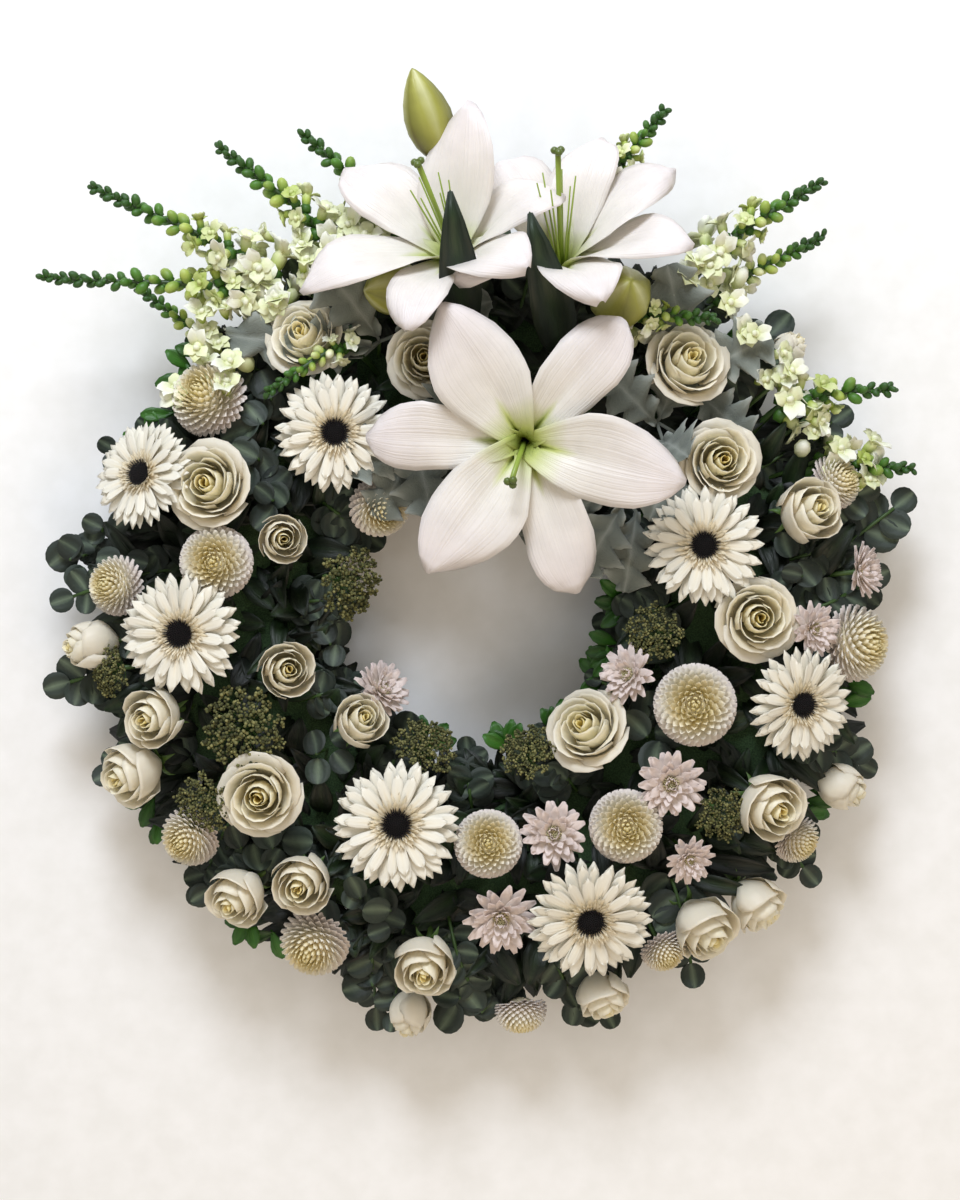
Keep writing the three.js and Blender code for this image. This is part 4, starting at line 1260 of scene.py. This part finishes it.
def leaf_band(count, places):
    """Leaves from random places: a function gives each one its start, its tip and its width."""
    parts = []
    for k in range(count):
        start, end, width = places(k)
        shade = max(0, 0.35 + chance.uniform(-0.35, 0.3))
        bend, wave, outline = chance.uniform(0.03, 0.2), chance.uniform(0, 0.05), chance.uniform(0.4, 0.6)
        parts.append(blade(start, end, width * MM, bend, shade, 0, wave, outline))
    return together(parts)


def outer_leaf(k):
    bearing = 360 * k / OUTER_LEAVES + chance.uniform(-3, 3)
    layer = k % 4
    start = spot(bearing, OUTER - 6 + chance.uniform(0, 12), 28 + 9 * layer)
    reach = OUTER + chance.uniform(26, 68) - 4 * layer
    end = spot(bearing + chance.uniform(-9, 9), reach, 18 + 14 * layer + chance.uniform(-8, 18))
    return start, end, chance.uniform(14, 25)


def inner_leaf(k):
    bearing = 360 * k / INNER_LEAVES + chance.uniform(-4, 4)
    layer = k % 4
    start = spot(bearing, INNER + 4, 28 + 9 * layer)
    aside = bearing + chance.uniform(-16, 16)
    reach = INNER - chance.uniform(14, 40) + 3 * layer
    end = spot(aside, reach, 24 + 14 * layer + chance.uniform(-8, 16))
    return start, end, chance.uniform(12, 20)


def bed_leaf(k):
    bearing, reach = chance.uniform(0, 360), chance.uniform(INNER + 2, OUTER + 4)
    start = spot(bearing, reach, FOAM_TOP - 6)
    turn = chance.uniform(0, TAU)
    length = chance.uniform(24, 44)
    end = start + Vector((length * math.cos(turn), length * math.sin(turn), chance.uniform(6, 36))) * MM
    return start, end, chance.uniform(11, 20)


# The first finish is the near-black leaf colour, partly painted shade between the blooms.
LEAF_MATERIALS = [LEAF_GREEN_AND_SHADE, LEAF_BRIGHT]
outer_band = leaf_band(OUTER_LEAVES, outer_leaf)
to_object("leaf_bed_outer", outer_band, LEAF_MATERIALS, ["leaf_collar_outer"])
inner_band = leaf_band(INNER_LEAVES, inner_leaf)
to_object("leaf_bed_inner", inner_band, LEAF_MATERIALS, ["leaf_collar_inner"])
to_object("leaf_bed_top", leaf_band(BED_LEAVES, bed_leaf), LEAF_MATERIALS)

# %% [markdown]
# ## Fresh green leaves
# Here and there a twig of bright green leaves shows at the ring's edges. They use the same blade
# as the dark leaves, widest near the tip, in groups of five.

# %% Fresh leaves
fresh = []
for bearing, reach, height in (
    (312, 322, 64), (305, 314, 62), (298, 315, 60), (44, 312, 66), (120, 318, 58),
    (102, 315, 60), (84, 104, 60), (104, 100, 58), (116, 98, 56), (203, 100, 58),
    (167, 96, 58), (146, 100, 60), (240, 318, 56), (215, 322, 54),
):
    for k in range(5):
        start = spot(bearing + chance.uniform(-3, 3), reach + (14 if reach < CORE else -18), height - 6)
        turn = math.radians(90 - bearing) + (math.pi if reach < CORE else 0) + chance.uniform(-1.1, 1.1)
        end = start + Vector((26 * math.cos(turn), 26 * math.sin(turn), chance.uniform(-6, 12))) * MM
        fresh.append(blade(start, end, 12 * MM, 0.08, chance.uniform(0.0, 0.8), 1, 0.0, 0.64))
to_object("fresh_leaves", together(fresh), LEAF_MATERIALS)


# %% [markdown]
# ## The holder
# The tray and the foam are turned shapes. Each starts as a circle that is extruded and scaled
# from one point of its profile to the next, and the last ring is merged into the first.

# %% Tray and foam
def turned(name, profile, sides, node, material):
    """Turns a closed profile of reach and height, in millimetres, round the ring's middle."""
    reach, height = profile[0]
    bpy.ops.object.select_all(action="DESELECT")
    bpy.ops.mesh.primitive_circle_add(vertices=sides, radius=reach * MM, location=(0, 0, 0))
    made = bpy.context.object
    made.name = made.data.name = name
    bpy.ops.object.mode_set(mode="EDIT")
    bpy.ops.mesh.select_all(action="SELECT")
    bpy.ops.transform.translate(value=(0, 0, height * MM))
    for next_reach, next_height in profile[1:] + profile[:1]:
        rise = (next_height - height) * MM
        grow = next_reach / reach
        bpy.ops.mesh.extrude_region_move(TRANSFORM_OT_translate={"value": (0, 0, rise)})
        bpy.ops.transform.resize(value=(grow, grow, 1), center_override=(0, 0, 0))
        reach, height = next_reach, next_height
    bpy.ops.mesh.select_all(action="SELECT")
    bpy.ops.mesh.remove_doubles(threshold=1e-5)
    bpy.ops.mesh.normals_make_consistent(inside=False)
    bpy.ops.transform.translate(value=HUB)
    bpy.ops.object.mode_set(mode="OBJECT")
    made.data.materials.append(material)
    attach(made, "root")
    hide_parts(node)
    print(name, "has", len(made.data.polygons), "faces")


def grained(name, low, high, roughness, scale, relief):
    """A finish for the holder: a two-colour noise and a bump from the same noise."""
    material = bpy.data.materials.new(name)
    material.use_nodes = True
    tree = material.node_tree
    shader = tree.nodes["Principled BSDF"]
    shader.inputs["Roughness"].default_value = roughness
    place = tree.nodes.new("ShaderNodeTexCoord")
    noise = tree.nodes.new("ShaderNodeTexNoise")
    noise.inputs["Scale"].default_value = scale
    noise.inputs["Detail"].default_value = 5
    ramp = tree.nodes.new("ShaderNodeValToRGB")
    for stop, position, code in zip(ramp.color_ramp.elements, (0.35, 0.65), (low, high)):
        stop.position, stop.color = position, colour(code)
    bump = tree.nodes.new("ShaderNodeBump")
    bump.inputs["Strength"].default_value = relief
    bump.inputs["Distance"].default_value = 0.001
    tree.links.new(place.outputs["Object"], noise.inputs["Vector"])
    tree.links.new(noise.outputs["Fac"], ramp.inputs["Fac"])
    tree.links.new(noise.outputs["Fac"], bump.inputs["Height"])
    tree.links.new(ramp.outputs["Color"], shader.inputs["Base Color"])
    tree.links.new(bump.outputs["Normal"], shader.inputs["Normal"])
    return material


PLASTIC = grained("tray_plastic", "16211a", "243026", 0.42, 260, 0.08)
FOAM = grained("floral_foam", "24391f", "3f5a36", 0.95, 900, 0.5)
turned("foam_block", [
    (INNER, 2.4), (OUTER, 2.4), (OUTER, FOAM_TOP - 16), (OUTER - 5, FOAM_TOP - 5),
    (OUTER - 16, FOAM_TOP), (INNER + 16, FOAM_TOP), (INNER + 5, FOAM_TOP - 5), (INNER, FOAM_TOP - 16),
], 96, "foam_ring", FOAM)
turned("tray", [
    (INNER - 2.3, 0), (OUTER + 2.3, 0), (OUTER + 2.3, 19), (OUTER + 3.6, 20), (OUTER + 3.6, 22),
    (OUTER + 0.4, 22), (OUTER + 0.4, 2), (INNER - 0.4, 2), (INNER - 0.4, 22), (INNER - 3.6, 22),
    (INNER - 3.6, 20), (INNER - 2.3, 19),
], 96, "ring_tray", PLASTIC)


# %% [markdown]
# ## Studio
# The wreath lies on a pale floor under soft light that comes mostly from beyond its top, and the
# camera looks straight down on it.

# %% Floor, lights and camera
bpy.ops.object.select_all(action="DESELECT")
bpy.ops.mesh.primitive_plane_add(size=9, location=(0, 0, -0.001))
floor = bpy.context.object
floor.name = "floor"
floor.data.materials.append(grained("floor_paper", "f4f3f0", "f9f8f6", 0.9, 40, 0.02))


def area_light(name, place, target, size, power, tint):
    """A round soft light that points from its place to a target."""
    light = bpy.data.lights.new(name, "AREA")
    light.shape, light.size, light.energy, light.color = "DISK", size, power, colour(tint)[:3]
    lamp = bpy.data.objects.new(name, light)
    aim = (Vector(target) - Vector(place)).to_track_quat("-Z", "Y")
    lamp.matrix_world = Matrix.Translation(place) @ aim.to_matrix().to_4x4()
    bpy.context.scene.collection.objects.link(lamp)


area_light("key", (-0.25, 1.6, 1.6), (0, 0.1, 0.1), 0.9, 40, "eaf2ff")
area_light("fill", (0.5, -1.5, 1.7), (0, -0.1, 0.1), 1.4, 9, "ffdcae")
world = bpy.data.worlds.new("studio")
world.use_nodes = True
world.node_tree.nodes["Background"].inputs["Color"].default_value = (1, 0.97, 0.92, 1)
world.node_tree.nodes["Background"].inputs["Strength"].default_value = 0.56
bpy.context.scene.world = world
bpy.context.scene.view_settings.view_transform = "Standard"

lens = bpy.data.cameras.new("camera")
lens.sensor_width = 36
lens.lens = 62.3
eye = bpy.data.objects.new("camera", lens)
eye.location = (HUB.x, HUB.y + 0.014, 1.73)
bpy.context.scene.collection.objects.link(eye)
bpy.context.scene.camera = eye
print("the camera is at", [round(v, 3) for v in eye.location])
